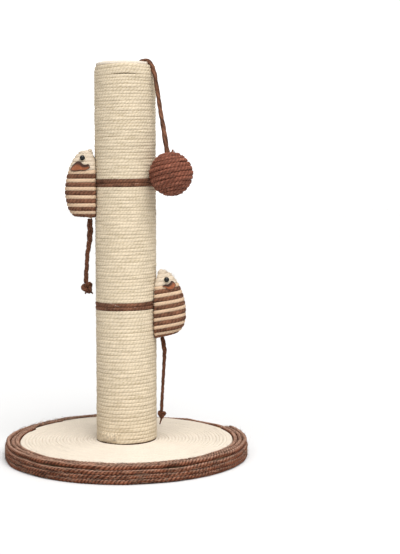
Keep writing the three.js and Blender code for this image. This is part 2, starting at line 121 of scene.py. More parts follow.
# The mice: azimuth, the local side that faces the camera, how far the turns rise towards the
# back, and the outline as (height, distance out from the post's surface).
LEFT_MOUSE = {
    "name": "left",
    "azimuth": math.pi,
    "near": 1,
    "tilt": 0.0,
    "outline": [
        (0.2912, 0.0100),
        (0.2942, 0.0225),
        (0.2972, 0.0270),
        (0.3033, 0.0318),
        (0.3155, 0.0355),
        (0.3253, 0.0365),
        (0.3363, 0.0357),
        (0.3460, 0.0338),
        (0.3602, 0.0288),
        (0.3694, 0.0232),
        (0.3754, 0.0165),
        (0.3775, 0.0095),
    ],
    "first_loop": 0.2946,
    "loop_pitch": 0.00502,
    "loop_lift": 0.0024,
    "loops": 17,
    "brown_loops": (0, 2, 4, 6, 8, 10),
    "eye": (0.3665, 1.75),
    "ear_upper": [
        (0.24, 0.3558),
        (0.27, 0.3584),
        (0.30, 0.3592),
        (0.36, 0.3584),
        (0.45, 0.3586),
        (0.60, 0.3617),
        (0.71, 0.3621),
        (0.78, 0.3603),
        (0.84, 0.3571),
        (0.90, 0.3530),
    ],
    "ear_lower": [
        (0.24, 0.3552),
        (0.26, 0.3542),
        (0.35, 0.3520),
        (0.52, 0.3516),
        (0.87, 0.3517),
        (0.90, 0.3523),
    ],
}
RIGHT_MOUSE = {
    "name": "right",
    "azimuth": math.radians(-8),
    "near": -1,
    "tilt": 0.167,
    "outline": [
        (0.1452, 0.0100),
        (0.1467, 0.0219),
        (0.1491, 0.0268),
        (0.1560, 0.0338),
        (0.1646, 0.0362),
        (0.1747, 0.0365),
        (0.1845, 0.0355),
        (0.1950, 0.0331),
        (0.2095, 0.0272),
        (0.2171, 0.0225),
        (0.2252, 0.0159),
        (0.2300, 0.0085),
    ],
    "first_loop": 0.1464,
    "loop_pitch": 0.00479,
    "loop_lift": 0.0030,
    "loops": 18,
    "brown_loops": (0, 2, 4, 6, 8, 10, 12),
    "eye": (0.2168, 1.856),
    "ear_upper": [
        (0.38, 0.2104),
        (0.44, 0.2110),
        (0.51, 0.2114),
        (0.60, 0.2108),
        (0.70, 0.2122),
        (0.84, 0.2137),
        (0.88, 0.2114),
        (0.90, 0.2087),
    ],
    "ear_lower": [
        (0.38, 0.2098),
        (0.47, 0.2079),
        (0.55, 0.2056),
        (0.66, 0.2038),
        (0.77, 0.2045),
        (0.88, 0.2077),
        (0.90, 0.2083),
    ],
}
MOUSE_BELLY = -0.0005
MOUSE_NOSE = 0.0042
MOUSE_TAIL_END = 0.0012
MOUSE_HALF_WIDTH = 0.019
# The share of a mouse's depth at which it is widest, and how round it is before and behind that.
MOUSE_WIDEST = 0.44
MOUSE_BELLY_POWER = 0.34
MOUSE_BACK_POWER = 0.86

# The tails' routes: distance out from the post's surface, and height.
LEFT_TAIL = {
    "diameter": 0.0062,
    "pivot": (0.0064, 0.2882),
    "route": [
        (0.0066, 0.2925),
        (0.0063, 0.2841),
        (0.0062, 0.2800),
        (0.0063, 0.2760),
        (0.0065, 0.2720),
        (0.0069, 0.2675),
        (0.0075, 0.2630),
        (0.0082, 0.2585),
        (0.0090, 0.2540),
        (0.0097, 0.2495),
        (0.0101, 0.2450),
        (0.0103, 0.2405),
        (0.0105, 0.2360),
        (0.0109, 0.2315),
        (0.0113, 0.2270),
        (0.0116, 0.2225),
        (0.0116, 0.2185),
        (0.0113, 0.2144),
    ],
    "knot": (0.0098, 0.2078),
    "knot_lean": 0.5,
    "knot_size": (0.0041, 0.0050),
    "ends": [[(0.0070, 0.2040), (0.0048, 0.2022), (0.0032, 0.2012)], [(0.012, 0.2030), (0.0128, 0.2008)]],
    "spread": [(0.0, 0.0018), (0.2, 0.0020), (0.42, 0.0016), (0.6, 0.0011), (0.8, 0.0012), (1.0, 0.0014)],
    "cord": 0.0036,
    "plait": 0.034,
}
RIGHT_TAIL = {
    "diameter": 0.0050,
    "pivot": (0.0081, 0.1434),
    "route": [
        (0.0074, 0.1478),
        (0.0086, 0.1394),
        (0.0093, 0.1365),
        (0.0098, 0.1330),
        (0.0100, 0.1285),
        (0.0099, 0.1240),
        (0.0096, 0.1180),
        (0.0092, 0.1120),
        (0.0088, 0.1050),
        (0.0084, 0.0980),
        (0.0080, 0.0910),
        (0.0076, 0.0840),
        (0.0072, 0.0770),
        (0.0068, 0.0700),
        (0.0064, 0.0630),
        (0.0062, 0.0556),
    ],
    "knot": (0.0064, 0.0507),
    "knot_lean": 0.15,
    "knot_size": (0.0028, 0.0040),
    "ends": [[(0.0062, 0.0470), (0.0050, 0.0425), (0.0039, 0.0385)]],
    "spread": [(0.0, 0.0014), (0.12, 0.0016), (0.25, 0.0011), (0.4, 0.0008), (1.0, 0.0007)],
    "cord": 0.0030,
    "plait": 0.030,
}


# ---- settings ----


def length(name, description, default):
    return bpy.props.FloatProperty(
        name=name, description=description, default=default, min=0.0, subtype="DISTANCE", unit="LENGTH"
    )


def turns_of(name, description, default):
    return bpy.props.IntProperty(name=name, description=description, default=default, min=1)


def colour(name, description, default):
    return bpy.props.FloatVectorProperty(
        name=name, description=description, default=default, size=3, min=0.0, max=1.0, subtype="COLOR"
    )


class RopeColours(bpy.types.PropertyGroup):
    """The colours of the ropes and of the trim."""

    natural: colour("Natural sisal", "Rope on the post", (0.58, 0.49, 0.36))
    pale: colour("Pale sisal", "Rope on the base and on the post's top", (0.635, 0.56, 0.465))
    mouse: colour("Mouse cream", "Cream rope of the mice", (0.54, 0.385, 0.26))
    head: colour("Mouse head", "Pale rope of the mice's heads", (0.57, 0.475, 0.365))
    brown: colour("Brown sisal", "Dyed rope of the bands and of the mice", (0.125, 0.054, 0.030))
    tail: colour("Tail sisal", "Dyed rope of the tails and of the ball's rope", (0.092, 0.034, 0.0170))
    # The rim's dyed tone is also darkened as painted shade for its side. rim_sisal lifts its upward faces
    # again towards a pale tone.
    rim: colour("Rim sisal", "Dyed rope round the base", (0.088, 0.024, 0.0090))
    ball: colour("Ball sisal", "Redder dyed rope of the ball", (0.152, 0.046, 0.024))
    suede: colour("Suede", "Ears of the mice", (0.24, 0.068, 0.02))


class PostSizes(bpy.types.PropertyGroup):
    """How the post is wound."""

    bottom: length("Lowest turn", "Lower edge of the lowest turn", 0.0214)
    lower_band: length("Lower band", "Lower edge of the lower brown band", 0.183)
    lower_band_top: length("Lower band's top", "Upper edge of the lower brown band", 0.1928)
    upper_band: length("Upper band", "Lower edge of the upper brown band", 0.3321)
    upper_band_top: length("Upper band's top", "Upper edge of the upper brown band", 0.3418)
    top: length("Highest turn", "Upper edge of the highest turn", 0.4766)
    lower_turns: turns_of("Lower turns", "Turns below the bands", 36)
    middle_turns: turns_of("Middle turns", "Turns between the bands", 34)
    upper_turns: turns_of("Upper turns", "Turns above the bands", 35)


class BaseSizes(bpy.types.PropertyGroup):
    """How the base is wound."""

    rim_width: length("Rim rope", "Diameter of the brown rope on the rim", 0.0056)
    side_radius: length("Side radius", "Radius of the rim rope's line on the side", 0.14715)
    top_radius: length("Top radius", "Radius of the outer rim rope's line on the top", 0.1457)
    top_pitch: length("Top pitch", "Distance between the rim's turns on the top", 0.0056)
    spiral_outer: length("Spiral's outside", "Outer radius of the pale spiral", 0.1308)
    spiral_inner: length("Spiral's inside", "Inner radius of the pale spiral", 0.0378)
    spiral_turns: turns_of("Spiral turns", "Turns of the pale spiral", 22)


class BallSizes(bpy.types.PropertyGroup):
    """The ball's winding."""

    rope: length("Ball rope", "Width of the rope that the ball is wound with", 0.0060)
    turns: bpy.props.FloatProperty(name="Turns", description="Turns from pole to pole", default=12.7, min=1.0)


# ---- shader toolkit ----


class Value:
    """What one socket gives; arithmetic on it adds Math nodes."""

    def __init__(self, shader, socket):
        self.shader = shader
        self.socket = socket

    def math(self, operation, *others, clamp=False):
        inputs = dict(enumerate([self, *others]))
        return self.shader.node("ShaderNodeMath", {"operation": operation, "use_clamp": clamp}, inputs)

    def __add__(self, other):
        return self.math("ADD", other)

    __radd__ = __add__

    def __mul__(self, other):
        return self.math("MULTIPLY", other)

    __rmul__ = __mul__

    def __sub__(self, other):
        return self.math("SUBTRACT", other)

    def __rsub__(self, other):
        return (self * -1.0) + other

    def __pow__(self, power):
        return self.math("POWER", power)

    def clamped(self):
        return self.math("ADD", 0.0, clamp=True)


class Shader:
    """A material's nodes around one Principled BSDF."""

    def __init__(self, name, roughness=0.9, **constants):
        self.material = bpy.data.materials.new(name)
        self.material.use_nodes = True
        self.tree = self.material.node_tree
        self.tree.nodes.clear()
        self.bsdf = self.tree.nodes.new("ShaderNodeBsdfPrincipled")
        output = self.tree.nodes.new("ShaderNodeOutputMaterial")
        self.tree.links.new(self.bsdf.outputs[0], output.inputs["Surface"])
        self.set(Roughness=roughness, **constants)

    def set(self, **sockets):
        for name, value in sockets.items():
            self.feed(self.bsdf.inputs[name.replace("_", " ")], value)

    def feed(self, socket, value):
        if isinstance(value, Value):
            self.tree.links.new(value.socket, socket)
        elif isinstance(value, tuple) and len(value) == 3 and socket.type == "RGBA":
            socket.default_value = (*value, 1.0)
        else:
            socket.default_value = value

    def node(self, kind, settings=None, inputs=None, output=0):
        """Adds a node with its settings, then the values or links of its sockets."""
        made = self.tree.nodes.new(kind)
        for name, value in (settings or {}).items():
            if name == "stops":
                self.set_stops(made.color_ramp, value)
            else:
                setattr(made, name, value)
        for name, value in (inputs or {}).items():
            self.feed(made.inputs[name], value)
        return Value(self, made.outputs[output])

    @staticmethod
    def set_stops(ramp, stops):
        for at, _ in stops[len(ramp.elements):]:
            ramp.elements.new(at)
        for element, (at, tone) in zip(ramp.elements, stops):
            element.position = at
            element.color = (*tone, 1.0)

    def split(self, vector):
        made = self.node("ShaderNodeSeparateXYZ", inputs={0: vector}).socket.node
        return [Value(self, socket) for socket in made.outputs]

    def vector(self, x, y, z):
        return self.node("ShaderNodeCombineXYZ", inputs={0: x, 1: y, 2: z})

    def place(self):
        return self.node("ShaderNodeTexCoord", output="Object")

    def noise(self, vector, scale, detail=2.0, roughness=0.5, stretch=(1, 1, 1)):
        mapped = self.node("ShaderNodeMapping", inputs={"Vector": vector, "Scale": Vector(stretch)})
        inputs = {"Vector": mapped, "Scale": scale, "Detail": detail, "Roughness": roughness}
        return self.node("ShaderNodeTexNoise", inputs=inputs)

    def ramp(self, value, stops):
        return self.node("ShaderNodeValToRGB", {"stops": stops}, {0: value})

    def mix(self, a, b, factor):
        return self.node("ShaderNodeMix", {"data_type": "RGBA"}, {0: factor, 6: a, 7: b}, output=2)

    def bump(self, height, distance, strength=1.0):
        inputs = {"Height": height, "Distance": distance, "Strength": strength}
        self.set(Normal=self.node("ShaderNodeBump", inputs=inputs))


def shade(tone, factor):
    return tuple(min(channel * factor, 1.0) for channel in tone)


def toward(tone, other, share):
    return tuple(a * (1 - share) + b * share for a, b in zip(tone, other))


# ---- finishes ----


def rope_finish(name, dark, tone, light, laid, fleck, dust_and_top_light=0.0, patch=24.0, worn_share=0.25,
                sheen=0.0):
    """Laid rope: the strands follow the mesh's own twist and the fibres run along them."""
    shader = Shader(name, roughness=0.9, Specular_IOR_Level=0.2 + sheen)
    along, around, _ = shader.split(shader.node("ShaderNodeUVMap", {"uv_map": ROPE_UV}))
    strands = 3
    crest = ((around - along) * (math.pi * strands)).math("COSINE").math("ABSOLUTE")
    angle = around * TAU
    ring = shader.vector(along * 1.6, angle.math("COSINE") * 2.6, angle.math("SINE") * 2.6)
    fibres = shader.noise(ring, scale=1.0, detail=3.0, roughness=0.65)
    slubs = shader.noise(shader.vector(along * 0.35, angle.math("COSINE"), angle.math("SINE")), scale=1.3)
    patches = shader.noise(shader.place(), scale=patch, detail=3.0, roughness=0.6)
    # The crest mask paints the grooves between strands darker and the crests lighter: painted shade in the
    # grooves and a painted highlight on the crests, with fibre and slub noise on top. laid sets how strong
    # both are.
    level = (crest - 0.64) * laid + (fibres - 0.5) * 1.5 + (slubs - 0.5) * 0.7 + 0.5
    strand = shader.ramp(level.clamped(), [(0.08, dark), (0.5, tone), (0.92, light)])
    worn_stops = [(0.2, shade(tone, 1 - fleck)), (0.8, shade(tone, 1 + fleck))]
    worn = shader.ramp((patches - 0.5) * 2.2 + 0.5, worn_stops)
    mixed = shader.mix(strand, worn, worn_share)
    # Upward faces, most of all their lighter strand parts, are mixed towards a pale tone. This is partly dust
    # and partly painted top light for the light that falls from above.
    if dust_and_top_light:
        _, _, upward = shader.split(shader.node("ShaderNodeNewGeometry", output="Normal"))
        dust_and_top_light_mask = (upward.clamped() ** 2.0 * level.clamped()) * dust_and_top_light
        mixed = shader.mix(mixed, toward(light, (0.72, 0.56, 0.44), 0.5), dust_and_top_light_mask)
    shader.set(Base_Color=mixed, Roughness=fibres * -0.2 + (1.0 - sheen * 1.5))
    shader.bump(crest * 0.5 + fibres * 0.6, distance=0.0004, strength=0.6)
    return shader.material


def hair_finish(name, tone):
    shader = Shader(name, roughness=0.7)
    streak = shader.noise(shader.place(), scale=300.0)
    shader.set(Base_Color=shader.ramp(streak, [(0.3, shade(tone, 0.75)), (0.7, shade(tone, 1.2))]))
    return shader.material


def suede_finish(name, tone):
    shader = Shader(name, roughness=0.95, Sheen_Weight=0.35, Sheen_Roughness=0.5)
    nap = shader.noise(shader.place(), scale=900.0, detail=3.0, roughness=0.7)
    cloud = shader.noise(shader.place(), scale=160.0, detail=2.0)
    level = nap * 0.5 + cloud * 0.5
    colour_here = shader.ramp(level, [(0.3, shade(tone, 0.45)), (0.55, tone), (0.75, shade(tone, 1.9))])
    across, up, _ = shader.split(shader.node("ShaderNodeUVMap", {"uv_map": EAR_UV}))
    # The ear's upper part, lower edge and both ends are painted dark, broken up by noise: painted shade where
    # the suede stands off the head and meets it.
    ends = ((across - 0.5).math("ABSOLUTE") - 0.4) * 9.0
    rims = ((up - across * 0.25 - 0.38) * 5.0).math("MAXIMUM", up * -6.0 + 0.9)
    painted_edge_shade = (rims.math("MAXIMUM", ends) + (cloud - 0.5) * 1.2).clamped()
    shader.set(Base_Color=shader.mix(colour_here, shade(tone, 0.16), painted_edge_shade))
    shader.bump(nap, distance=0.0003, strength=0.8)
    return shader.material


def bead_finish(name):
    shader = Shader(name, roughness=0.15, Specular_IOR_Level=0.25)
    scuff = shader.noise(shader.place(), scale=700.0, detail=4.0)
    shader.set(
        Base_Color=shader.ramp(scuff, [(0.3, (0.004, 0.004, 0.004)), (0.8, (0.02, 0.018, 0.018))]),
        Roughness=scuff * 0.16 + 0.04,
    )
    return shader.material


def felt_finish(name):
    shader = Shader(name, roughness=1.0, Sheen_Weight=0.2)
    fuzz = shader.noise(shader.place(), scale=1200.0, detail=4.0, roughness=0.75)
    clumps = shader.noise(shader.place(), scale=140.0)
    level = fuzz * 0.7 + clumps * 0.3
    shader.set(Base_Color=shader.ramp(level, [(0.35, (0.03, 0.026, 0.023)), (0.7, (0.09, 0.08, 0.072))]))
    shader.bump(fuzz, distance=0.0004)
    return shader.material


def board_finish(name):
    shader = Shader(name, roughness=0.85)
    chips = shader.noise(shader.place(), scale=420.0, detail=4.0, stretch=(1, 1, 2.5))
    stops = [(0.3, (0.28, 0.17, 0.09)), (0.55, (0.47, 0.32, 0.18)), (0.8, (0.62, 0.46, 0.29))]
    shader.set(Base_Color=shader.ramp(chips, stops))
    shader.bump(chips, distance=0.0002, strength=0.5)
    return shader.material


def wood_finish(name):
    shader = Shader(name, roughness=0.7)
    warp = shader.noise(shader.place(), scale=22.0, detail=2.0)
    x, _, _ = shader.split(shader.place())
    grain = ((x * 900.0 + warp * 14.0).math("SINE") + 1.0) * 0.5
    pores = shader.noise(shader.place(), scale=700.0, detail=3.0, stretch=(1, 1, 0.08))
    level = grain * 0.5 + pores * 0.5
    shader.set(Base_Color=shader.ramp(level, [(0.25, (0.42, 0.26, 0.13)), (0.75, (0.66, 0.48, 0.28))]))
    shader.bump(pores, distance=0.0001, strength=0.5)
    return shader.material


def cardboard_finish(name):
    shader = Shader(name, roughness=0.9)
    pulp = shader.noise(shader.place(), scale=500.0, detail=4.0, stretch=(0.4, 0.4, 1.6))
    _, _, z = shader.split(shader.place())
    seam = ((z * 60.0).math("FRACT") - 0.5).math("ABSOLUTE").math("LESS_THAN", 0.02)
    colour_level = (pulp - seam * 0.3).clamped()
    shader.set(Base_Color=shader.ramp(colour_level, [(0.2, (0.25, 0.16, 0.09)), (0.7, (0.46, 0.33, 0.2))]))
    shader.bump(pulp, distance=0.0001, strength=0.5)
    return shader.material


def steel_finish(name):
    shader = Shader(name, roughness=0.35, Metallic=1.0)
    brushed = shader.noise(shader.place(), scale=900.0, detail=3.0, stretch=(1, 1, 0.1))
    shader.set(
        Base_Color=shader.ramp(brushed, [(0.3, (0.45, 0.45, 0.46)), (0.7, (0.72, 0.72, 0.74))]),
        Roughness=brushed * 0.3 + 0.2,
    )
    return shader.material


def glue_finish(name):
    shader = Shader(name, roughness=0.35, Coat_Weight=0.3)
    cloud = shader.noise(shader.place(), scale=150.0, detail=2.0)
    shader.set(Base_Color=shader.ramp(cloud, [(0.3, (0.62, 0.52, 0.36)), (0.7, (0.8, 0.72, 0.55))]))
    shader.bump(cloud, distance=0.0004, strength=0.5)
    return shader.material


def floor_finish(name):
    shader = Shader(name, roughness=0.6)
    grain = shader.noise(shader.place(), scale=4.0, detail=2.0)
    shader.set(Base_Color=shader.ramp(grain, [(0.3, (0.722, 0.72, 0.718)), (0.7, (0.735, 0.733, 0.731))]))
    return shader.material


FINISHES = {}


def finish(name):
    return FINISHES[name]


def make_finishes(colours):
    names = ("natural", "pale", "mouse", "head", "brown", "tail", "rim", "ball", "suede")
    tones = [tuple(getattr(colours, name)) for name in names]
    natural, pale, cream, head, brown, tail, rim, ball, suede = tones
    # In each rope finish the first tone is the painted shade of the grooves and the third is the painted
    # highlight of the crests. natural_sisal's groove shade is tinted olive.
    FINISHES.update(
        natural_sisal=rope_finish(
            "natural_sisal", tuple(tone * part for tone, part in zip(natural, (0.66, 0.62, 0.5))), natural,
            shade(natural, 1.26), laid=0.4, fleck=0.12, patch=60.0,
        ),
        pale_sisal=rope_finish(
            "pale_sisal", shade(pale, 0.84), pale, shade(pale, 1.12), laid=0.2, fleck=0.07
        ),
        mouse_cream=rope_finish(
            "mouse_cream", shade(cream, 0.75), cream, shade(cream, 1.22), laid=0.3, fleck=0.1
        ),
        mouse_head=rope_finish("mouse_head", shade(head, 0.8), head, shade(head, 1.15), laid=0.15, fleck=0.1),
        brown_sisal=rope_finish(
            "brown_sisal", shade(brown, 0.25), brown, shade(brown, 2.2), laid=0.5, fleck=0.7, patch=90.0,
            worn_share=0.45,
        ),
        tail_sisal=rope_finish(
            "tail_sisal", shade(tail, 0.3), tail, shade(tail, 2.2), laid=0.5, fleck=0.5, patch=120.0,
            worn_share=0.35,
        ),
        # A darkened copy of the tail rope: painted shade for the gap under the post's lowest turn.
        dark_sisal=rope_finish("dark_sisal", shade(tail, 0.2), shade(tail, 0.5), tail, laid=0.5, fleck=0.5),
        ball_sisal=rope_finish(
            "ball_sisal", shade(ball, 0.3), ball, toward(shade(ball, 2.4), (1, 0.8, 0.7), 0.06), laid=0.35,
            fleck=0.45, patch=60.0, sheen=0.08,
        ),
        rim_sisal=rope_finish(
            "rim_sisal", shade(rim, 0.2), rim, toward(shade(rim, 3.2), (1, 0.8, 0.6), 0.08),
            laid=0.7, fleck=0.75, dust_and_top_light=0.78, patch=80.0, worn_share=0.4,
        ),
        natural_hair=hair_finish("natural_hair", toward(natural, (1, 1, 1), 0.4)),
        brown_hair=hair_finish("brown_hair", toward(brown, (1, 0.8, 0.6), 0.22)),
        fringe_hair=hair_finish("fringe_hair", shade(natural, 1.3)),
        cream_hair=hair_finish("cream_hair", toward(head, (1, 1, 1), 0.15)),
        ball_hair=hair_finish("ball_hair", toward(ball, (1, 0.7, 0.5), 0.2)),
        light_hair=hair_finish("light_hair", toward(brown, (1, 0.66, 0.45), 0.3)),
        dark_hair=hair_finish("dark_hair", shade(brown, 0.3)),
        suede=suede_finish("suede", suede),
        bead=bead_finish("bead"),
        felt=felt_finish("felt"),
        board=board_finish("board"),
        wood=wood_finish("wood"),
        cardboard=cardboard_finish("cardboard"),
        steel=steel_finish("steel"),
        glue=glue_finish("glue"),
        floor=floor_finish("floor"),
    )


# ---- lines and ropes ----


def random_numbers(key):
    """A generator of its own for each piece, so that no piece changes another."""
    return np.random.default_rng(sum(ord(letter) * (place + 1) for place, letter in enumerate(key)))


def eased(share):
    share = np.clip(share, 0.0, 1.0)
    return share * share * (3 - 2 * share)


def drift(distance, wavelength, size, generator):
    """A smooth random wander along a line."""
    at = distance / wavelength
    knots = generator.uniform(-size, size, int(at.max()) + 3)
    before = at.astype(int)
    share = eased(at - before)
    return knots[before] * (1 - share) + knots[before + 1] * share


def through(points, at):
    """A smooth curve through a few (x, y) points."""
    xs, ys = np.array(points, float).T
    slopes = np.gradient(ys, xs)
    before = np.clip(np.searchsorted(xs, at) - 1, 0, len(xs) - 2)
    gap = xs[before + 1] - xs[before]
    share = np.clip((at - xs[before]) / gap, 0, 1)
    a = (1 + 2 * share) * (1 - share) ** 2
    b = share * (1 - share) ** 2
    c = share * share * (3 - 2 * share)
    d = share * share * (share - 1)
    return a * ys[before] + b * gap * slopes[before] + c * ys[before + 1] + d * gap * slopes[before + 1]


def normalised(vectors):
    return vectors / np.linalg.norm(vectors, axis=-1, keepdims=True)


def travelled(points):
    return np.concatenate([[0.0], np.cumsum(np.linalg.norm(np.diff(points, axis=0), axis=1))])


def evenly(points, step):
    """A smooth line through a few points, with places on it at even steps."""
    points = np.array(points, float)
    knots = travelled(points)
    fine = np.linspace(0, knots[-1], len(points) * 24)
    curve = np.stack([through(list(zip(knots, points[:, axis])), fine) for axis in range(3)], axis=1)
    distance = travelled(curve)
    even = np.linspace(0, distance[-1], max(int(distance[-1] / step), 8) + 1)
    return resampled(curve, distance, even)


def turned_about_z(points, angle):
    cosine, sine = math.cos(angle), math.sin(angle)
    points = np.asarray(points, float)
    x = points[..., 0] * cosine - points[..., 1] * sine
    y = points[..., 0] * sine + points[..., 1] * cosine
    return np.stack([x, y, points[..., 2]], axis=-1)


def spokes(angle):
    """Level directions out from the post's axis."""
    return np.stack([np.cos(angle), np.sin(angle), np.zeros(len(angle))], axis=1)


def tangents(angle):
    """Level directions round the post's axis."""
    return np.stack([-np.sin(angle), np.cos(angle), np.zeros(len(angle))], axis=1)


def places_round(radius, angle, height):
    return np.stack([radius * np.cos(angle), radius * np.sin(angle), height], axis=1)


def straight_up(points):
    return np.broadcast_to((0.0, 0.0, 1.0), points.shape)


def resampled(values, distance, at):
    return np.stack([np.interp(at, distance, values[:, axis]) for axis in range(3)], axis=1)


def mesh_piece(name, vertices, faces, material, corner_uv=None):
    mesh = bpy.data.meshes.new(name)
    mesh.from_pydata(vertices.tolist(), [], faces)
    mesh.polygons.foreach_set("use_smooth", [True] * len(mesh.polygons))
    if corner_uv is not None:
        layer = mesh.uv_layers.new(name=ROPE_UV)
        layer.data.foreach_set("uv", corner_uv.astype(np.float32).ravel())
    mesh.materials.append(material)
    mesh.update()
    piece = bpy.data.objects.new(name, mesh)
    bpy.context.scene.collection.objects.link(piece)
    return piece


class Rope:
    """A laid rope: its section, its strands and how they twist."""

    def __init__(self, width, height=None, strands=3, lay=0.0117, groove=0.1, sides=12, squareness=0.85,
                 step=0.001, wander=0.00012, swell=0.04):
        self.width = width
        self.height = height or width
        self.strands = strands
        self.lay = lay
        self.groove = groove
        self.sides = sides
        self.squareness = squareness
        self.step = step
        self.wander = wander
        self.swell = swell

    def tube(self, centres, outward, generator, scale=1.0):
        """Vertices, faces and corner UVs of this rope along a line. It stands up along outward."""
        distance = travelled(centres)
        tangent = normalised(np.gradient(centres, axis=0))
        outward = normalised(outward - (outward * tangent).sum(1, keepdims=True) * tangent)
        side = np.cross(tangent, outward)
        middle = centres + side * drift(distance, 0.031, self.wander, generator)[:, None]
        middle = middle + outward * drift(distance, 0.023, self.wander * 0.7, generator)[:, None]
        swelling = 1 + drift(distance, 0.017, self.swell, generator)
        share = np.arange(self.sides) / self.sides
        angle = TAU * share + 0.42 * np.sin(TAU * share)
        twist = distance / self.lay + drift(distance, 0.047, 0.45, generator)
        phase = angle[None, :] - TAU * twist[:, None]
        crest = np.abs(np.cos(self.strands * phase / 2))
        radius = (1 - self.groove * (1 - crest) ** 1.4) * swelling[:, None]
        radius = radius * (1 + generator.uniform(-0.015, 0.015, radius.shape))
        cosine, sine = -np.cos(angle), np.sin(angle)
        up = np.sign(cosine) * np.abs(cosine) ** self.squareness
        across = np.sign(sine) * np.abs(sine) ** self.squareness
        scale = np.broadcast_to(scale, distance.shape)[:, None]
        points = (
            middle[:, None, :]
            + side[:, None, :] * (radius * scale * across * self.width / 2)[:, :, None]
            + outward[:, None, :] * (radius * scale * up * self.height / 2)[:, :, None]
        )
        rings, sides = len(centres), self.sides
        ring, place = np.meshgrid(np.arange(rings - 1), np.arange(sides), indexing="ij")
        after = (place + 1) % sides
        this_ring, next_ring = ring * sides, (ring + 1) * sides
        corners = [this_ring + place, next_ring + place, next_ring + after, this_ring + after]
        quads = np.stack(corners, axis=-1).reshape(-1, 4)
        turn = np.append(angle / TAU, 1.0)
        here, there = twist[ring], twist[ring + 1]
        first, second = turn[place], turn[place + 1]
        uv = np.stack(
            [np.stack([here, first], -1), np.stack([there, first], -1), np.stack([there, second], -1),
             np.stack([here, second], -1)],
            axis=-2,
        ).reshape(-1, 2)
        start = list(range(sides))
        end = [(rings - 1) * sides + place for place in reversed(range(sides))]
        cap_uv = [(twist[0], 0.5)] * sides + [(twist[-1], 0.5)] * sides
        return points.reshape(-1, 3), quads.tolist() + [start, end], np.concatenate([uv, cap_uv])


def join_tubes(tubes):
    vertices, faces, uvs, offset = [], [], [], 0
    for points, polygons, uv in tubes:
        vertices.append(points)
        faces.extend([[index + offset for index in polygon] for polygon in polygons])
        uvs.append(uv)
        offset += len(points)
    return np.concatenate(vertices), faces, np.concatenate(uvs)


def wound(name, rope, centres, outward, material, scale=1.0):
    points, faces, uv = rope.tube(centres, outward, random_numbers(name), scale)
    return mesh_piece(name, points, faces, finish(material), uv)


def hairs(name, roots, directions, lengths, thickness, material, bending=0.35):
    """Loose sisal fibres: thin bent slivers that stand off the rope."""
    generator = random_numbers(name)
    joints = 4
    tubes = []
    for root, direction, reach in zip(roots, directions, lengths):
        bend = generator.normal(0, bending, 3)
        share = np.linspace(0, 1, joints)[:, None]
        line = root + reach * (direction * share + bend * share**2)
        line[:, 2] = np.maximum(line[:, 2], thickness)
        tangent = normalised(np.gradient(line, axis=0))
        side = normalised(np.cross(tangent, [0.31, 0.52, 0.8]))
        other = np.cross(tangent, side)
        width = thickness * (1 - 0.75 * share)
        angles = np.arange(3) / 3 * TAU
        ring = side[:, None] * np.cos(angles)[None, :, None] + other[:, None] * np.sin(angles)[None, :, None]
        points = (line[:, None] + ring * width[:, None] / 2).reshape(-1, 3)
        faces = [
            [row + place, row + (place + 1) % 3, row + 3 + (place + 1) % 3, row + 3 + place]
            for row in range(0, joints * 3 - 3, 3)
            for place in range(3)
        ]
        faces += [[2, 1, 0], [joints * 3 - 3, joints * 3 - 2, joints * 3 - 1]]
        tubes.append((points, faces, np.zeros((sum(map(len, faces)), 2))))
    vertices, faces, uv = join_tubes(tubes)
    return mesh_piece(name, vertices, faces, finish(material), uv)


def on_body(piece, body, slot, *nodes):
    """The piece takes its body and hides the nodes that it stands for. The slot is not used."""
    if body:
        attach(piece, body)
    if nodes:
        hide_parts(*nodes)
    return piece


# ---- modelling by hand ----


def deselect():
    if bpy.context.object and bpy.context.object.mode != "OBJECT":
        bpy.ops.object.mode_set(mode="OBJECT")
    bpy.ops.object.select_all(action="DESELECT")


def settled(piece, name, material):
    """Names the active piece, gives it its finish and puts its place into its mesh."""
    piece.name = name
    piece.data.name = name
    piece.data.materials.clear()
    piece.data.materials.append(material)
    bpy.ops.object.transform_apply(location=True, rotation=True, scale=True)
    bpy.ops.object.shade_smooth()
    return piece


def apply_modifiers(piece):
    for modifier in list(piece.modifiers):
        bpy.ops.object.modifier_apply(modifier=modifier.name)


# ---- operators ----


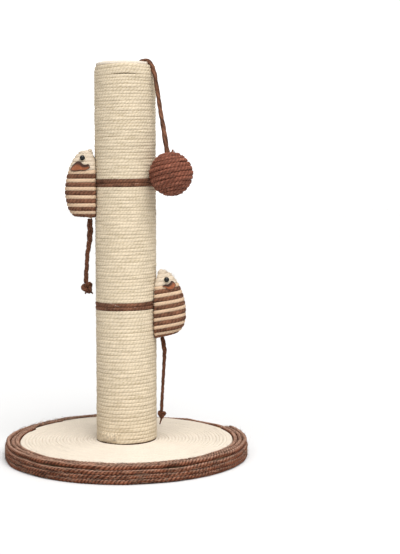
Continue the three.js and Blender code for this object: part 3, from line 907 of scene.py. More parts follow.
class SCRATCHPOST_OT_stage(bpy.types.Operator):
    """Sets the camera, the pale floor and the soft studio light"""

    bl_idname = "scratchpost.stage"
    bl_label = "Stage"

    def execute(self, context):
        scene = context.scene
        scene.view_settings.view_transform = "Standard"
        scene.view_settings.look = "None"
        data = bpy.data.cameras.new("camera")
        frame_height = 554
        focal_pixels = 1241.153
        data.sensor_width = 36.0
        data.lens = focal_pixels / frame_height * data.sensor_width
        data.clip_end = 30.0
        camera = bpy.data.objects.new("camera", data)
        scene.collection.objects.link(camera)
        camera.location = (0.0, -1.519179, 0.36242)
        yaw, pitch = 0.0598, 0.0928
        camera.rotation_euler = (math.pi / 2 - pitch, 0.0, -yaw)
        scene.camera = camera

        deselect()
        bpy.ops.mesh.primitive_plane_add(size=12.0, location=(0.0, 2.0, 0.0))
        floor = settled(context.object, "floor", finish("floor"))

        world = bpy.data.worlds.new("studio")
        scene.world = world
        world.use_nodes = True
        tree = world.node_tree
        tree.nodes.clear()
        output = tree.nodes.new("ShaderNodeOutputWorld")
        soft, backdrop = (tree.nodes.new("ShaderNodeBackground") for _ in range(2))
        soft.inputs["Color"].default_value = (1.0, 0.985, 0.965, 1.0)
        soft.inputs["Strength"].default_value = 0.27
        backdrop.inputs["Color"].default_value = (1.0, 1.0, 1.0, 1.0)
        backdrop.inputs["Strength"].default_value = 1.3
        mix = tree.nodes.new("ShaderNodeMixShader")
        path = tree.nodes.new("ShaderNodeLightPath")
        tree.links.new(path.outputs["Is Camera Ray"], mix.inputs[0])
        tree.links.new(soft.outputs[0], mix.inputs[1])
        tree.links.new(backdrop.outputs[0], mix.inputs[2])
        tree.links.new(mix.outputs[0], output.inputs[0])

        def soft_sun(name, place, strength, spread):
            light = bpy.data.lights.new(name, "SUN")
            light.energy = strength
            light.angle = math.radians(spread)
            lamp = bpy.data.objects.new(name, light)
            lamp.location = place
            lamp.rotation_euler = (-Vector(place)).to_track_quat("-Z", "Y").to_euler()
            scene.collection.objects.link(lamp)

        soft_sun("key", (0.95, -2.25, 3.1), 2.55, 45.0)
        soft_sun("fill", (-1.0, -2.3, 3.1), 1.25, 55.0)
        soft_sun("top", (0.7, -0.4, 3.0), 1.1, 60.0)
        return {"FINISHED"}


def in_ball_plane(route):
    return turned_about_z([(out, 0.0, up) for out, up in route], BALL_AZIMUTH)


def hanging_direction():
    drop = np.array(BALL_CENTRE) - np.array(ROPE_CORNER)
    return drop / np.linalg.norm(drop)


def down_the_rope(distance, bow=0.0006):
    """A place on the hanging rope, which bows a little towards the post."""
    return tuple(np.array(ROPE_CORNER) + hanging_direction() * distance + np.array((-bow, 0.0)))


class SCRATCHPOST_OT_ball_rope(bpy.types.Operator):
    """Lays the rope that comes out of the post's top, bends over its edge and holds the ball"""

    bl_idname = "scratchpost.ball_rope"
    bl_label = "Ball rope"

    def execute(self, context):
        rope = Rope(BALL_ROPE_DIAMETER, strands=2, lay=0.030, groove=0.22, sides=14, squareness=1.0,
                    step=0.0008, wander=0.0001, swell=0.05)
        sideways = turned_about_z([(0.0, 1.0, 0.0)], BALL_AZIMUTH)[0]
        hang_top, hang_end = 0.036, 0.1160
        bend_route = [*EDGE_ROUTE, down_the_rope(0.0165), down_the_rope(0.023), down_the_rope(hang_top)]
        hang_route = [
            down_the_rope(distance, bow)
            for distance, bow in ((hang_top, 0.0006), (0.047, 0.0007), (0.062, 0.0009), (0.08, 0.0005),
                                  (0.1, 0.0007), (hang_end, 0.0004))
        ]
        stretches = [
            ("ball_rope_top", LYING_ROUTE, ("post", "rope_corner"), (0.0230, 0.4826), (0.0290, 0.4826)),
            ("ball_rope_bend", bend_route, ("rope_corner", "hanging_rope"), (0.0345, 0.4815), (0.04, 0.4745)),
            ("ball_rope", hang_route, ("hanging_rope", "ball"), down_the_rope(0.085), down_the_rope(0.113)),
        ]
        for name, route, bodies, start, end in stretches:
            line = evenly(in_ball_plane(route), rope.step)
            thicker = np.interp(line[:, 2], (BALL_CENTRE[1] + BALL_RADIUS, 0.43), (1.18, 0.98))
            sideways_all = np.broadcast_to(sideways, line.shape)
            piece = wound(name + "_laid", rope, line, sideways_all, "brown_sisal", thicker)
            on_body(piece, None, "brown_sisal", name)
            start_point, end_point = in_ball_plane([start, end])
            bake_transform(piece)
        knot_low, knot_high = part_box("ball_rope_knot")
        centre = np.array((knot_low + knot_high) / 2)
        knot = overhand_knot("ball_rope_knot_tied", centre, 0.0022, 0.0046, (0, 0, 1), (1, 0, 0))
        on_body(knot, "post", "brown_sisal", "ball_rope_knot")
        return {"FINISHED"}


def overhand_knot(name, centre, size, thickness, up, facing, ends=()):
    """One overhand knot pulled tight, as a closed tube, with any cut ends."""
    up, facing = normalised(np.array(up, float)), np.array(facing, float)
    facing = normalised(facing - up * (up @ facing))
    across = np.cross(up, facing)
    share = np.linspace(0, 1, 97)
    angle = share * TAU
    trefoil = [
        np.sin(angle) + 2 * np.sin(2 * angle),
        np.cos(angle) - 2 * np.cos(2 * angle),
        -1.3 * np.sin(3 * angle),
    ]
    flat = np.stack(trefoil, axis=1) * (size / 2.2)
    flat[:, 1] += size * 0.2
    line = centre + flat[:, :1] * across + flat[:, 1:2] * up + flat[:, 2:] * facing
    rope = Rope(thickness, lay=0.011, groove=0.16, sides=10, squareness=1.0, wander=0.0, swell=0.03)
    outward = line - centre
    generator = random_numbers(name)
    tubes = [rope.tube(line, outward, generator)]
    for end in ends:
        tail = evenly(end, 0.0008)
        scale = np.linspace(0.85, 0.35, len(tail))
        tubes.append(rope.tube(tail, np.broadcast_to(facing, tail.shape), generator, scale))
    vertices, faces, uv = join_tubes(tubes)
    return mesh_piece(name, vertices, faces, finish("tail_sisal"), uv)


class SCRATCHPOST_OT_tails(bpy.types.Operator):
    """Plaits the tails of the mice and ties their knots"""

    bl_idname = "scratchpost.tails"
    bl_label = "Tails"

    def execute(self, context):
        for mouse, tail in ((LEFT_MOUSE, LEFT_TAIL), (RIGHT_MOUSE, RIGHT_TAIL)):
            self.make_tail(mouse, tail)
        return {"FINISHED"}

    def make_tail(self, mouse, tail):
        name = mouse["name"]

        def at(place):
            return turned_about_z([(POST_RADIUS + place[0], 0.0, place[1])], mouse["azimuth"])[0]

        line = evenly([at(place) for place in tail["route"]], 0.0008)
        distance = travelled(line)
        share = distance / distance[-1]
        out = turned_about_z([(1.0, 0.0, 0.0)], mouse["azimuth"])[0]
        along = turned_about_z([(0.0, 1.0, 0.0)], mouse["azimuth"])[0]
        spread = through(tail["spread"], share)
        rope = Rope(tail["cord"], strands=2, lay=0.009, groove=0.18, sides=10, squareness=1.0, wander=0.00015)
        generator = random_numbers(name + "_tail")
        tubes = []
        for strand in range(3):
            phase = TAU * (distance / tail["plait"] + strand / 3)
            offset = out * (spread * np.sin(phase))[:, None]
            offset = offset + along * (0.0009 * np.sin(2 * phase))[:, None]
            tubes.append(rope.tube(line + offset, np.broadcast_to(along, line.shape), generator))
        vertices, faces, uv = join_tubes(tubes)
        piece = mesh_piece(name + "_tail_plait", vertices, faces, finish("tail_sisal"), uv)
        on_body(piece, None, "brown_sisal", name + "_tail", name + "_tail_root")
        pivot = at(tail["pivot"])
        name + "_tail_pivot"
        name + "_tail"
        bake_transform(piece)
        knot_at = at(tail["knot"])
        size, thickness = tail["knot_size"]
        ends = [[knot_at, *(at(place) for place in end)] for end in tail["ends"]]
        up = np.array((0, 0, 1.0)) + out * tail["knot_lean"]
        knot = overhand_knot(name + "_tail_knot_tied", knot_at, size, thickness, up, along, ends)
        on_body(knot, name + "_tail", "brown_sisal", name + "_tail_knot")


def helix(radius, bottom, top, turns, step):
    """A coil that starts and ends behind the post."""
    count = int(turns * TAU * radius / step)
    share = np.linspace(0, 1, count)
    angle = math.pi / 2 + share * turns * TAU
    outward = spokes(angle)
    centres = outward * radius
    centres[:, 2] = bottom + share * (top - bottom)
    return centres, outward, angle


def near_frayed_end(angle):
    """1 at the place on the foot where the rope ends in loose fibres, 0 away from it."""
    before_end, spread = 0.12, 0.3
    middle = (FRAYED_END[0] + FRAYED_END[1]) / 2 - before_end
    apart = (angle - middle + math.pi) % TAU - math.pi
    return np.exp(-((apart / spread) ** 2))


class SCRATCHPOST_OT_post(bpy.types.Operator):
    """Winds the post with natural rope and two brown bands, and covers its top"""

    bl_idname = "scratchpost.post"
    bl_label = "Post windings"

    def execute(self, context):
        sizes = context.scene.scratchpost_post
        self.wind("lower_rope", sizes.bottom, sizes.lower_band, sizes.lower_turns, "natural_sisal")
        self.wind("lower_band", sizes.lower_band, sizes.lower_band_top, 2, "brown_sisal")
        self.wind("middle_rope", sizes.lower_band_top, sizes.upper_band, sizes.middle_turns, "natural_sisal")
        self.wind("upper_band", sizes.upper_band, sizes.upper_band_top, 2, "brown_sisal")
        self.wind("upper_rope", sizes.upper_band_top, sizes.top, sizes.upper_turns, "natural_sisal")
        self.wind_foot(sizes)
        self.cover_top()
        return {"FINISHED"}

    def wind(self, node, bottom, top, turns, material):
        pitch = (top - bottom) / turns
        natural = material == "natural_sisal"
        height = POST_RADIUS - TUBE_RADIUS + 0.0002
        rope = Rope(
            pitch * (1.19 if natural else 1.08),
            height,
            lay=0.0125,
            groove=0.08 if natural else 0.16,
            sides=12,
            squareness=0.57 if natural else 0.75,
            step=0.00112,
            wander=0.0003 if natural else 0.0002,
            swell=0.08,
        )
        radius = POST_RADIUS - height / 2 + (0.0 if natural else 0.0002)
        centres, outward, angle = helix(radius, bottom, top, turns, rope.step)
        if node == "lower_rope":
            turned = (angle - angle[0]) / TAU
            centres[:, 2] += FOOT_LIFT * near_frayed_end(angle) * np.exp(-turned / 1.5)
        if node == "upper_rope":
            centres[:, 2] += self.loose_turn(angle, turns)
            turns_left = (angle[-1] - angle) / TAU
            centres -= outward * (0.0007 * eased(1 - turns_left / 1.6))[:, None]
        piece = wound(node + "_wound", rope, centres, outward, material)
        on_body(piece, "post", material, node)

    @staticmethod
    def wind_foot(sizes):
        """A thin rope in a darkened copy of the tail rope's brown that shows below the lowest turn: painted
        shade for the dark gap there.
        """
        floor = BOARD_TOP + SPIRAL_THICKNESS - 0.0003
        rope = Rope(sizes.bottom - floor + 0.0004, 0.0046, strands=2, lay=0.006, groove=0.35, sides=10,
                    squareness=0.8, step=0.0009, wander=0.0003, swell=0.3)
        centres, outward, angle = helix(POST_RADIUS - 0.0030, floor, floor, 1, rope.step)
        taller = 1 + FOOT_LIFT / rope.width * near_frayed_end(angle)
        centres[:, 2] += rope.width * taller / 2
        piece = wound("foot_rope", rope, centres, outward, "dark_sisal", taller)
        on_body(piece, "post", "brown_sisal")

    @staticmethod
    def loose_turn(angle, turns):
        """How far the highest turns stand off the next across the front, which fades further down."""
        last = math.pi / 2 + turns * TAU
        turns_left = (last - angle) / TAU
        across = np.clip(1 - np.abs(((angle + math.pi / 2 + math.pi) % TAU) - math.pi) / 0.8, 0, 1)
        return eased(across) * np.interp(turns_left, (2.9, 3.0, 9.0), (0.0016, 0.0005, 0.0))

    def cover_top(self):
        rope = Rope(0.0046, COVER_TOP - COVER_BOTTOM, lay=0.013, groove=0.07, sides=14,
                    squareness=0.85, wander=0.0002)
        outer = POST_RADIUS - 0.0031
        turns = outer / rope.width - 0.3
        count = int(turns * math.pi * outer / rope.step)
        share = np.linspace(0, 1, count) ** 0.55
        angle = math.pi / 2 + (1 - share[::-1]) * turns * TAU
        turned = (angle - angle[0]) / TAU
        radius = outer - turned * rope.width
        height = (COVER_BOTTOM + COVER_TOP) / 2 - 0.0011 * eased(1.4 - turned)
        centres = places_round(radius, angle, height)
        hole = in_ball_plane([LYING_ROUTE[3]])[0][:2]
        away = centres[:, :2] - hole
        distance = np.linalg.norm(away, axis=1, keepdims=True)
        clear = (BALL_ROPE_DIAMETER + rope.width) / 2
        push = np.clip(clear - distance, 0, None)
        centres[:, :2] += away / np.maximum(distance, 1e-6) * push
        piece = wound("top_rope_wound", rope, centres, straight_up(centres), "pale_sisal")
        on_body(piece, "post", "natural_sisal", "top_rope")


class SCRATCHPOST_OT_base(bpy.types.Operator):
    """Winds the rim of the base with brown rope and its top with a pale spiral"""

    bl_idname = "scratchpost.base"
    bl_label = "Base ropes"

    def execute(self, context):
        sizes = context.scene.scratchpost_base
        self.wind_rim(sizes)
        self.wind_top(sizes)
        return {"FINISHED"}

    def wind_rim(self, sizes):
        """Three turns on the side, and three on the top that stop short at the back."""
        rope = Rope(sizes.rim_width, lay=0.0145, groove=0.30, sides=14, squareness=0.85,
                    step=0.00098, wander=0.0007, swell=0.15)
        half = sizes.rim_width / 2
        side_pitch, floor_gap, board_gap = 0.0053, 0.0004, 0.0003
        loops = [(sizes.side_radius, half + floor_gap + side_pitch * turn, 0.0) for turn in range(3)]
        top_height = BOARD_TOP + board_gap + half
        top_radii = [sizes.top_radius - sizes.top_pitch * turn for turn in range(3)]
        top_loops = [(radius, top_height, math.pi / 2) for radius in top_radii]
        generator = random_numbers("base_rim_rope")
        start, top_share = INNER_RIM[0], (INNER_RIM[1] - INNER_RIM[0]) / TAU
        tubes = [self.rim_tube(rope, loops + top_loops[:1], start, 3 + top_share, generator)]
        for loop, start in zip(top_loops[1:], INNER_STARTS):
            tubes.append(self.rim_tube(rope, [loop], start, (INNER_RIM[1] - start) / TAU, generator))
        vertices, faces, uv = join_tubes(tubes)
        vertices[:, 2] = np.maximum(vertices[:, 2], 0.0002)
        piece = mesh_piece("base_rim_rope_wound", vertices, faces, finish("rim_sisal"), uv)
        on_body(piece, "post", "brown_sisal", "base_rim_rope")

    @staticmethod
    def rim_tube(rope, loops, start, turns, generator):
        """One rope through these loops. The third turn stands higher where no top turn lies on it."""
        mean_radius, climb = 0.143, 0.06
        raised_from, raised_by = 2.78, 0.0017
        radius, height, lean = np.array(loops).T
        turned = np.linspace(0, turns, int(turns * TAU * mean_radius / rope.step), endpoint=False)
        loop = turned.astype(int)
        after = np.minimum(loop + 1, len(loops) - 1)
        share = eased((turned - loop - (1 - climb)) / climb)

        def between(values):
            return values[loop] * (1 - share) + values[after] * share

        angle = start + turned * TAU
        radii, heights, leans = between(radius), between(height), between(lean)
        heights = heights + raised_by * eased((turned - raised_from) / climb) * (1 - share) * (loop == 2)
        around = np.stack([np.cos(angle), np.sin(angle)], axis=1)
        centres = np.concatenate([around * radii[:, None], heights[:, None]], axis=1)
        outward = np.concatenate([around * np.cos(leans)[:, None], np.sin(leans)[:, None]], axis=1)
        return rope.tube(centres, outward, generator)

    def wind_top(self, sizes):
        """The pale spiral, an arc that rounds off its outside, and two where the rim is narrower."""
        pitch = (sizes.spiral_outer - sizes.spiral_inner) / sizes.spiral_turns
        rope = Rope(pitch * 1.13, SPIRAL_THICKNESS, lay=0.0125, groove=0.05, sides=10, squareness=0.65,
                    step=0.0013, wander=0.0002, swell=0.04)
        outer = sizes.spiral_outer - pitch / 2
        inner = sizes.spiral_inner - pitch / 2
        count = int(sizes.spiral_turns * math.pi * (outer + inner) / rope.step)
        share = np.linspace(0, 1, count)
        radius = np.sqrt(outer**2 - share * (outer**2 - inner**2))
        angle = math.pi / 2 + (outer - radius) / pitch * TAU
        generator = random_numbers("base_top_rope")
        tubes = [self.flat_tube(rope, radius, angle, generator)]
        lead = math.radians(290)
        lead_in = np.linspace(angle[0] - lead, angle[0], int(lead * outer / rope.step))
        tubes.append(self.flat_tube(rope, np.full(len(lead_in), outer), lead_in, generator))
        for turn, arc_end in enumerate(reversed(INNER_STARTS)):
            count = int((arc_end - INNER_RIM[0]) * outer / rope.step)
            angle = np.linspace(INNER_RIM[0], arc_end, count)
            radius = np.full(len(angle), sizes.spiral_outer + pitch * (turn + 0.5))
            tubes.append(self.flat_tube(rope, radius, angle, generator))
        vertices, faces, uv = join_tubes(tubes)
        piece = mesh_piece("base_top_rope_wound", vertices, faces, finish("pale_sisal"), uv)
        on_body(piece, "post", "pale_sisal", "base_top_rope")

    @staticmethod
    def flat_tube(rope, radius, angle, generator):
        height = np.full(len(angle), BOARD_TOP + 0.0001 + rope.height / 2)
        centres = places_round(radius, angle, height)
        return rope.tube(centres, straight_up(centres), generator)


class SCRATCHPOST_OT_ball(bpy.types.Operator):
    """Winds the ball with brown rope round its own rope's line"""

    bl_idname = "scratchpost.ball"
    bl_label = "Ball"

    def execute(self, context):
        sizes = context.scene.scratchpost_ball
        rope = Rope(sizes.rope, lay=0.013, groove=0.16, sides=14, squareness=0.7, step=0.0008,
                    wander=0.0004, swell=0.07)
        line_radius = BALL_RADIUS - sizes.rope / 2 + 0.0002
        polar = math.radians(83)
        samples = np.linspace(0, 1, 4000)
        latitude = -polar + 2 * polar * samples
        angle = samples * sizes.turns * TAU
        local = np.stack(
            [np.cos(latitude) * np.cos(angle), np.cos(latitude) * np.sin(angle), np.sin(latitude)], axis=1
        )
        distance = travelled(local * line_radius)
        even = np.linspace(0, distance[-1], int(distance[-1] / rope.step))
        local = normalised(resampled(local, distance, even))
        centre = in_ball_plane([BALL_CENTRE])[0]
        up = in_ball_plane([tuple(-hanging_direction())])[0]
        turn = np.array(Vector((0, 0, 1)).rotation_difference(Vector(up)).to_matrix())
        outward = local @ turn.T
        piece = wound("ball_winding_wound", rope, centre + outward * line_radius, outward, "ball_sisal")
        on_body(piece, "ball", "brown_sisal", "ball_winding")
        self.add_stub(centre, up)
        return {"FINISHED"}

    def add_stub(self, centre, up):
        """The cut end of the winding, beside the place where the rope goes in."""
        rope = Rope(0.0042, lay=0.011, groove=0.2, sides=10, squareness=1.0)
        side = np.array((0.93, -0.2, 0.25))
        start = centre + up * (BALL_RADIUS - 0.003) + side * 0.004
        line = evenly([start, start + up * 0.002 + side * 0.002, start + up * 0.0045 + side * 0.003], 0.0006)
        scale = np.linspace(1.0, 0.5, len(line))
        forward = np.broadcast_to((0.0, -1.0, 0.0), line.shape)
        piece = wound("ball_rope_stub", rope, line, forward, "brown_sisal", scale)
        on_body(piece, "ball", "brown_sisal")


# ---- mice ----


def mouse_reach(mouse, height):
    low, high = mouse["outline"][0][0], mouse["outline"][-1][0]
    return through(mouse["outline"], np.clip(height, low, high))


def mouse_surface(mouse, height, angle, lift=0.0):
    """Places over the wound body. The angle is 0 in the middle of the belly and pi at the back."""
    height, angle = np.broadcast_arrays(np.asarray(height, float), np.asarray(angle, float))

    def place(level, turn):
        reach = mouse_reach(mouse, level)
        depth = reach - MOUSE_BELLY
        widest = max(out for _, out in mouse["outline"]) - MOUSE_BELLY
        half_width = MOUSE_HALF_WIDTH * (depth / widest) ** 0.9
        cosine, sine = np.cos(turn), np.sin(turn)
        back = MOUSE_WIDEST + (1 - MOUSE_WIDEST) * np.abs(cosine) ** MOUSE_BACK_POWER
        belly = MOUSE_WIDEST - MOUSE_WIDEST * np.abs(cosine) ** MOUSE_BELLY_POWER
        share = np.where(cosine < 0, back, belly)
        power = np.where(cosine < 0, MOUSE_BACK_POWER, 0.55)
        across = mouse["near"] * half_width * np.sign(sine) * np.abs(sine) ** power
        falls_away = POST_RADIUS - np.sqrt(POST_RADIUS**2 - across**2)
        low, high = mouse["outline"][0][0], mouse["outline"][-1][0]
        nose = MOUSE_NOSE * eased(1 - (high - level) / 0.016)
        rounding = nose + MOUSE_TAIL_END * eased(1 - (level - low) / 0.007)
        toward_post = np.clip(1 - share / MOUSE_WIDEST, 0, 1)
        out = MOUSE_BELLY + depth * share + (rounding - falls_away) * toward_post
        rise = level + mouse["tilt"] * (out - MOUSE_BELLY)
        return np.stack([POST_RADIUS + out, across, rise], axis=-1)

    nudge_up, nudge_round = 0.0004, 0.02
    middle = place(height, angle)
    round_way = place(height, angle + nudge_round) - place(height, angle - nudge_round)
    up_way = place(height + nudge_up, angle) - place(height - nudge_up, angle)
    normal = normalised(np.cross(up_way, round_way) * mouse["near"])
    raised = middle + normal * np.asarray(lift, float)[..., None]
    return turned_about_z(raised, mouse["azimuth"]), turned_about_z(normal, mouse["azimuth"])


def angle_at(share):
    """The angle at which the body reaches this share of its depth out from the post."""
    before = np.clip((MOUSE_WIDEST - share) / MOUSE_WIDEST, 0, 1)
    behind = np.clip((share - MOUSE_WIDEST) / (1 - MOUSE_WIDEST), 0, 1)
    belly = np.arccos(before ** (1 / MOUSE_BELLY_POWER))
    back = np.arccos(-(behind ** (1 / MOUSE_BACK_POWER)))
    return np.where(share < MOUSE_WIDEST, belly, back)


def cream_loops(mouse):
    """The cream turns between the brown ones, and one above them; the rest are the head's."""
    brown = mouse["brown_loops"]
    return [loop for loop in range(brown[-1] + 2) if loop not in brown]


def loop_height(mouse, loop):
    loop = np.asarray(loop, float)
    return mouse["first_loop"] + mouse["loop_pitch"] * loop + mouse["loop_lift"] * np.exp(-loop)


class SCRATCHPOST_OT_mice(bpy.types.Operator):
    """Winds both mice in brown and cream rope"""

    bl_idname = "scratchpost.mice"
    bl_label = "Mice"

    def execute(self, context):
        for mouse in (LEFT_MOUSE, RIGHT_MOUSE):
            prefix = mouse["name"] + "_mouse"
            self.wind(mouse, prefix + "_brown_rope", mouse["brown_loops"], "brown_sisal", "brown_sisal")
            cream_node = prefix + "_cream_rope"
            self.wind(mouse, cream_node, cream_loops(mouse), "mouse_cream", "pale_sisal")
            head = range(cream_loops(mouse)[-1] + 1, mouse["loops"])
            self.wind(mouse, prefix + "_head_rope", head, "mouse_head", "pale_sisal", cream_node)
            self.add_body(mouse, prefix)
        return {"FINISHED"}

    def wind(self, mouse, name, loops, material, slot, node=None):
        brown = material == "brown_sisal"
        wide = {"brown_sisal": 1.15, "mouse_cream": 1.05, "mouse_head": 1.3}[material]
        rope = Rope(mouse["loop_pitch"] * wide, 0.0049 if brown else 0.0046, lay=0.0125,
                    groove=0.16 if brown else 0.1, sides=12, squareness=0.75, step=0.0009,
                    wander=0.00022, swell=0.06)
        per_loop = 130
        heights = loop_height(mouse, list(loops))
        turned = np.linspace(0, len(loops), len(loops) * per_loop, endpoint=False)
        loop = turned.astype(int)
        after = np.minimum(loop + 1, len(loops) - 1)
        share = eased((turned - loop - 0.93) / 0.07)
        height = heights[loop] * (1 - share) + heights[after] * share
        centres, outward = mouse_surface(mouse, height, (turned - loop) * TAU, -0.0024)
        distance = travelled(centres)
        even = np.linspace(0, distance[-1], int(distance[-1] / rope.step))
        centres, outward = (resampled(values, distance, even) for values in (centres, outward))
        piece = wound(name + "_wound", rope, centres, outward, material)
        on_body(piece, "post", slot, node or name)

    def add_body(self, mouse, prefix):
        """The stuffed body that shows between the turns."""
        low, high = mouse["outline"][0][0] + 0.001, mouse["outline"][-1][0] - 0.0005
        layers, sides = 30, 28
        heights = np.linspace(low, high, layers)
        angles = np.arange(sides) / sides * TAU
        grid, _ = mouse_surface(mouse, heights[:, None], angles[None, :], -0.0035)
        faces = []
        for layer in range(layers - 1):
            for place in range(sides):
                here, after = layer * sides + place, layer * sides + (place + 1) % sides
                quad = [here, after, after + sides, here + sides]
                faces.append(quad if mouse["near"] > 0 else quad[::-1])
        bottom, top = list(range(sides)), [(layers - 1) * sides + place for place in range(sides)]
        faces += [bottom[::-1], top] if mouse["near"] > 0 else [bottom, top[::-1]]
        uv = np.zeros((sum(map(len, faces)), 2))
        piece = mesh_piece(prefix + "_body", grid.reshape(-1, 3), faces, finish("mouse_cream"), uv)
        on_body(piece, "post", "pale_sisal", prefix + "_core")


class SCRATCHPOST_OT_faces(bpy.types.Operator):
    """Gives the mice their bead eyes and suede ears"""

    bl_idname = "scratchpost.faces"
    bl_label = "Eyes and ears"

    def execute(self, context):
        for mouse in (LEFT_MOUSE, RIGHT_MOUSE):
            for where, side in (("front", 1), ("rear", -1)):
                self.add_eye(mouse, where, side)
                self.add_ear(mouse, where, side)
        return {"FINISHED"}

    def add_eye(self, mouse, where, side):
        height, angle = mouse["eye"]
        angle = angle if side > 0 else TAU - angle
        (place,), (normal,) = mouse_surface(mouse, [height], [angle], 0.0002)
        deselect()
        bpy.ops.mesh.primitive_uv_sphere_add(segments=28, ring_count=16, radius=0.0033)
        bead = bpy.context.object
        bead.scale = (1.0, 1.0, 0.85)
        bead.rotation_euler = Vector(normal).to_track_quat("Z", "Y").to_euler()
        bead.location = place + normal * 0.0009
        settled(bead, f"{mouse['name']}_mouse_{where}_eye_bead", finish("bead"))
        on_body(bead, "post", "bead", f"{mouse['name']}_mouse_{where}_eye")
        deselect()
        bpy.ops.mesh.primitive_torus_add(
            major_segments=32, minor_segments=10, major_radius=0.0032, minor_radius=0.0005,
            location=place, rotation=Vector(normal).to_track_quat("Z", "Y").to_euler(),
        )
        collar = settled(bpy.context.object, f"{mouse['name']}_mouse_{where}_eye_collar", finish("glue"))
        on_body(collar, "post", "glue")

    def add_ear(self, mouse, where, side):
        """A suede patch with two lobes, bent round the side of the head and loose along its upper edge."""
        columns, rows = 36, 10
        deselect()
        bpy.ops.mesh.primitive_grid_add(x_subdivisions=columns, y_subdivisions=rows, size=2.0)
        ear = bpy.context.object
        ear.data.uv_layers[0].name = EAR_UV
        flat = np.array([vertex.co for vertex in ear.data.vertices])
        across, up = (flat[:, 0] + 1) / 2, (flat[:, 1] + 1) / 2
        begin, end = mouse["ear_upper"][0][0], mouse["ear_upper"][-1][0]
        share = begin + (end - begin) * across
        low, high = through(mouse["ear_lower"], share), through(mouse["ear_upper"], share)
        height = low + (high - low) * up
        angle = angle_at(share)
        angle = angle if side > 0 else TAU - angle
        lift = 0.0004 + 0.0018 * up**2 * np.sin(math.pi * np.clip(across, 0.02, 0.98)) ** 0.5
        places, _ = mouse_surface(mouse, height, angle, lift)
        ear.data.vertices.foreach_set("co", places.astype(np.float32).ravel())
        bpy.ops.object.mode_set(mode="EDIT")
        bpy.ops.mesh.select_all(action="SELECT")
        bpy.ops.mesh.normals_make_consistent(inside=False)
        bpy.ops.object.mode_set(mode="OBJECT")
        thick = ear.modifiers.new("thickness", "SOLIDIFY")
        thick.thickness = 0.0013
        thick.offset = 0.0
        soft = ear.modifiers.new("soft edge", "SUBSURF")
        soft.levels = soft.render_levels = 1
        apply_modifiers(ear)
        settled(ear, f"{mouse['name']}_mouse_{where}_ear_suede", finish("suede"))
        on_body(ear, "post", "suede", f"{mouse['name']}_mouse_{where}_ear")


class SCRATCHPOST_OT_solids(bpy.types.Operator):
    """Gives the board, felt, tube, plugs, bolt and glue their finishes"""

    bl_idname = "scratchpost.solids"
    bl_label = "Solids"

    def execute(self, context):
        slots = {part["node"]: part["material_slot"] for part in frame["record"]["subparts"]}
        for name, node in frame["nodes"].items():
            if not node.hide_render:
                material = finish(slots[name])
                node.data.materials.clear()
                node.data.materials.append(material)
        return {"FINISHED"}


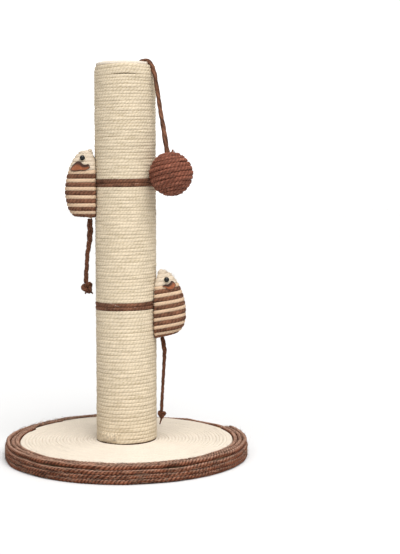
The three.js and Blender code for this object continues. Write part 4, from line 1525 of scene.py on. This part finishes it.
class SCRATCHPOST_OT_hairs(bpy.types.Operator):
    """Sets the loose fibres that stand off the ropes"""

    bl_idname = "scratchpost.hairs"
    bl_label = "Loose fibres"

    def execute(self, context):
        rim = (0.002, 0.017)
        post_inside = POST_RADIUS - 0.0004
        self.on_cylinder("post_fibres", 620, post_inside, (0.024, 0.475), "natural_hair", "natural_sisal")
        self.on_cylinder("band_fibres", 40, POST_RADIUS, (0.183, 0.193), "brown_hair", "brown_sisal")
        self.on_cylinder("upper_band_fibres", 40, POST_RADIUS, (0.332, 0.342), "brown_hair", "brown_sisal")
        self.on_cylinder(
            "rim_light_fibres", 700, 0.1495, rim, "light_hair", "brown_sisal", 0.0004, (0.0, 0.12)
        )
        self.on_cylinder("rim_fibres", 300, 0.1496, rim, "brown_hair", "brown_sisal")
        self.on_cylinder("rim_dark_fibres", 500, 0.1495, rim, "dark_hair", "brown_sisal", 0.0005, (0.0, 0.1))
        self.on_rim_top()
        self.on_rim_end()
        self.on_ball()
        for mouse in (LEFT_MOUSE, RIGHT_MOUSE):
            self.on_mouse(mouse)
        self.add_fringe()
        return {"FINISHED"}

    @staticmethod
    def scatter(name, roots, outward, along, reach, stand, thickness, material, body, slot):
        """Fibres at these roots, lying along the rope and standing off it by a share of their length."""
        generator = random_numbers(name + "_lie")
        count = len(roots)
        sign = generator.choice([-1.0, 1.0], count)[:, None]
        lying = stand[1] < 0.2
        stray = generator.normal(0, 0.07 if lying else 0.14, (count, 3))
        directions = normalised(along * sign + outward * generator.uniform(*stand, (count, 1)) + stray)
        reaches = generator.uniform(*reach, count)
        piece = hairs(name, roots, directions, reaches, thickness, material, bending=0.12 if lying else 0.35)
        on_body(piece, body, slot)

    def on_cylinder(self, name, count, radius, heights, material, slot, thickness=0.00022,
                    stand=(0.05, 0.35)):
        generator = random_numbers(name)
        clear_of_ball = 0.7
        angle = BALL_AZIMUTH + generator.uniform(clear_of_ball, TAU - clear_of_ball, count)
        # Fibres on the rim stand all round; only the post's keep clear of the ball.
        if radius > POST_RADIUS:
            angle = generator.uniform(0, TAU, count)
        outward = spokes(angle)
        along = tangents(angle)
        roots = outward * radius
        roots[:, 2] = generator.uniform(*heights, count)
        self.scatter(name, roots, outward, along, (0.003, 0.009), stand, thickness, material, "post", slot)

    def on_rim_top(self):
        root_height = 0.0217
        kinds = (("rim_top_fibres", 700, "light_hair"), ("rim_top_dark_fibres", 450, "dark_hair"))
        for name, count, material in kinds:
            generator = random_numbers(name)
            angle = generator.uniform(*INNER_RIM, count)
            radius = generator.uniform(RIM_TOP_INSIDE, 0.148, count)
            along = tangents(angle)
            roots = places_round(radius, angle, np.full(count, root_height))
            self.scatter(name, roots, straight_up(roots), along, (0.004, 0.011), (0.0, 0.18), 0.0004,
                         material, "post", "brown_sisal")

    def on_rim_end(self):
        """The pale, frayed ends of the rim's turns."""
        count = 90
        generator = random_numbers("rim_end_fibres")
        angle = np.full(count, INNER_RIM[1]) - generator.uniform(0.0, 0.02, count)
        radius = generator.uniform(RIM_TOP_INSIDE, 0.1475, count)
        height = generator.uniform(0.0175, 0.0220, count)
        along = tangents(angle)
        roots = places_round(radius, angle, height)
        directions = normalised(along + generator.normal(0, 0.2, (count, 3)))
        reach = generator.uniform(0.002, 0.005, count)
        piece = hairs("rim_end_fibres", roots, directions, reach, 0.0005, "cream_hair")
        on_body(piece, "post", "brown_sisal")

    def on_ball(self):
        kinds = (("ball_fibres", 190, "ball_hair"), ("ball_dark_fibres", 110, "dark_hair"))
        for name, count, material in kinds:
            generator = random_numbers(name)
            outward = normalised(generator.normal(0, 1, (count, 3)))
            up = in_ball_plane([tuple(-hanging_direction())])[0]
            along = normalised(np.cross(outward, up))
            roots = in_ball_plane([BALL_CENTRE])[0] + outward * (BALL_RADIUS - 0.0002)
            self.scatter(name, roots, outward, along, (0.003, 0.008), (0.0, 0.35), 0.00024, material, "ball",
                         "brown_sisal")

    def on_mouse(self, mouse):
        name, count = mouse["name"] + "_mouse_fibres", 260
        generator = random_numbers(name)
        head = list(range(cream_loops(mouse)[-1] + 1, mouse["loops"]))
        loop = generator.choice(cream_loops(mouse) + head * 4, count)
        heights = loop_height(mouse, loop + generator.uniform(-0.4, 0.4, count))
        roots, outward = mouse_surface(mouse, heights, generator.uniform(1.2, TAU - 1.2, count), -0.0004)
        along = normalised(np.cross(outward, (0.0, 0.0, 1.0)))
        self.scatter(name, roots, outward, along, (0.0015, 0.0045), (0.05, 0.6), 0.0002, "cream_hair", "post",
                     "pale_sisal")

    def add_fringe(self):
        """The frayed end of the post's rope, which hangs over the foot."""
        count = 190
        generator = random_numbers("foot_fringe")
        middle, half = (FRAYED_END[0] + FRAYED_END[1]) / 2, (FRAYED_END[1] - FRAYED_END[0]) / 2
        angle = middle + generator.normal(0, half * 0.55, count)
        outward = spokes(angle)
        roots = outward * (POST_RADIUS + generator.uniform(-0.0003, 0.0004, (count, 1)))
        roots[:, 2] = generator.uniform(0.0260, 0.0350, count)
        downward = np.array((0.0, 0.0, -1.0)) + outward * 0.02 + generator.normal(0, 0.1, (count, 3))
        reach = roots[:, 2] - generator.uniform(0.0208, 0.0235, count)
        piece = hairs("foot_fringe", roots, normalised(downward), reach, 0.00045, "fringe_hair", bending=0.08)
        on_body(piece, "post", "natural_sisal")


PIECE_OPERATORS = (
    SCRATCHPOST_OT_stage,
    SCRATCHPOST_OT_ball_rope,
    SCRATCHPOST_OT_tails,
    SCRATCHPOST_OT_post,
    SCRATCHPOST_OT_base,
    SCRATCHPOST_OT_ball,
    SCRATCHPOST_OT_mice,
    SCRATCHPOST_OT_faces,
    SCRATCHPOST_OT_hairs,
    SCRATCHPOST_OT_solids,
)


class SCRATCHPOST_PT_panel(bpy.types.Panel):
    """Lists the pieces of the scratching post"""

    bl_idname = "SCRATCHPOST_PT_panel"
    bl_label = "Scratching post"
    bl_space_type = "VIEW_3D"
    bl_region_type = "UI"
    bl_category = "Scratching post"

    def draw(self, context):
        for operator in PIECE_OPERATORS:
            self.layout.operator(operator.bl_idname)
        for group in SETTINGS:
            settings = getattr(context.scene, group)
            box = self.layout.box()
            for name in settings.__annotations__:
                box.prop(settings, name)


SETTINGS = {
    "scratchpost_colours": RopeColours,
    "scratchpost_post": PostSizes,
    "scratchpost_base": BaseSizes,
    "scratchpost_ball": BallSizes,
}


def register():
    for group in (*SETTINGS.values(), *PIECE_OPERATORS, SCRATCHPOST_PT_panel):
        bpy.utils.register_class(group)
    for name, group in SETTINGS.items():
        setattr(bpy.types.Scene, name, bpy.props.PointerProperty(type=group))


def unregister():
    for name in SETTINGS:
        delattr(bpy.types.Scene, name)
    for group in (SCRATCHPOST_PT_panel, *reversed(PIECE_OPERATORS), *SETTINGS.values()):
        bpy.utils.unregister_class(group)


def main():
    register()
    make_finishes(bpy.context.scene.scratchpost_colours)
    for operator in PIECE_OPERATORS:
        group, name = operator.bl_idname.split(".")
        getattr(getattr(bpy.ops, group), name)()


if __name__ == "__main__":
    main()
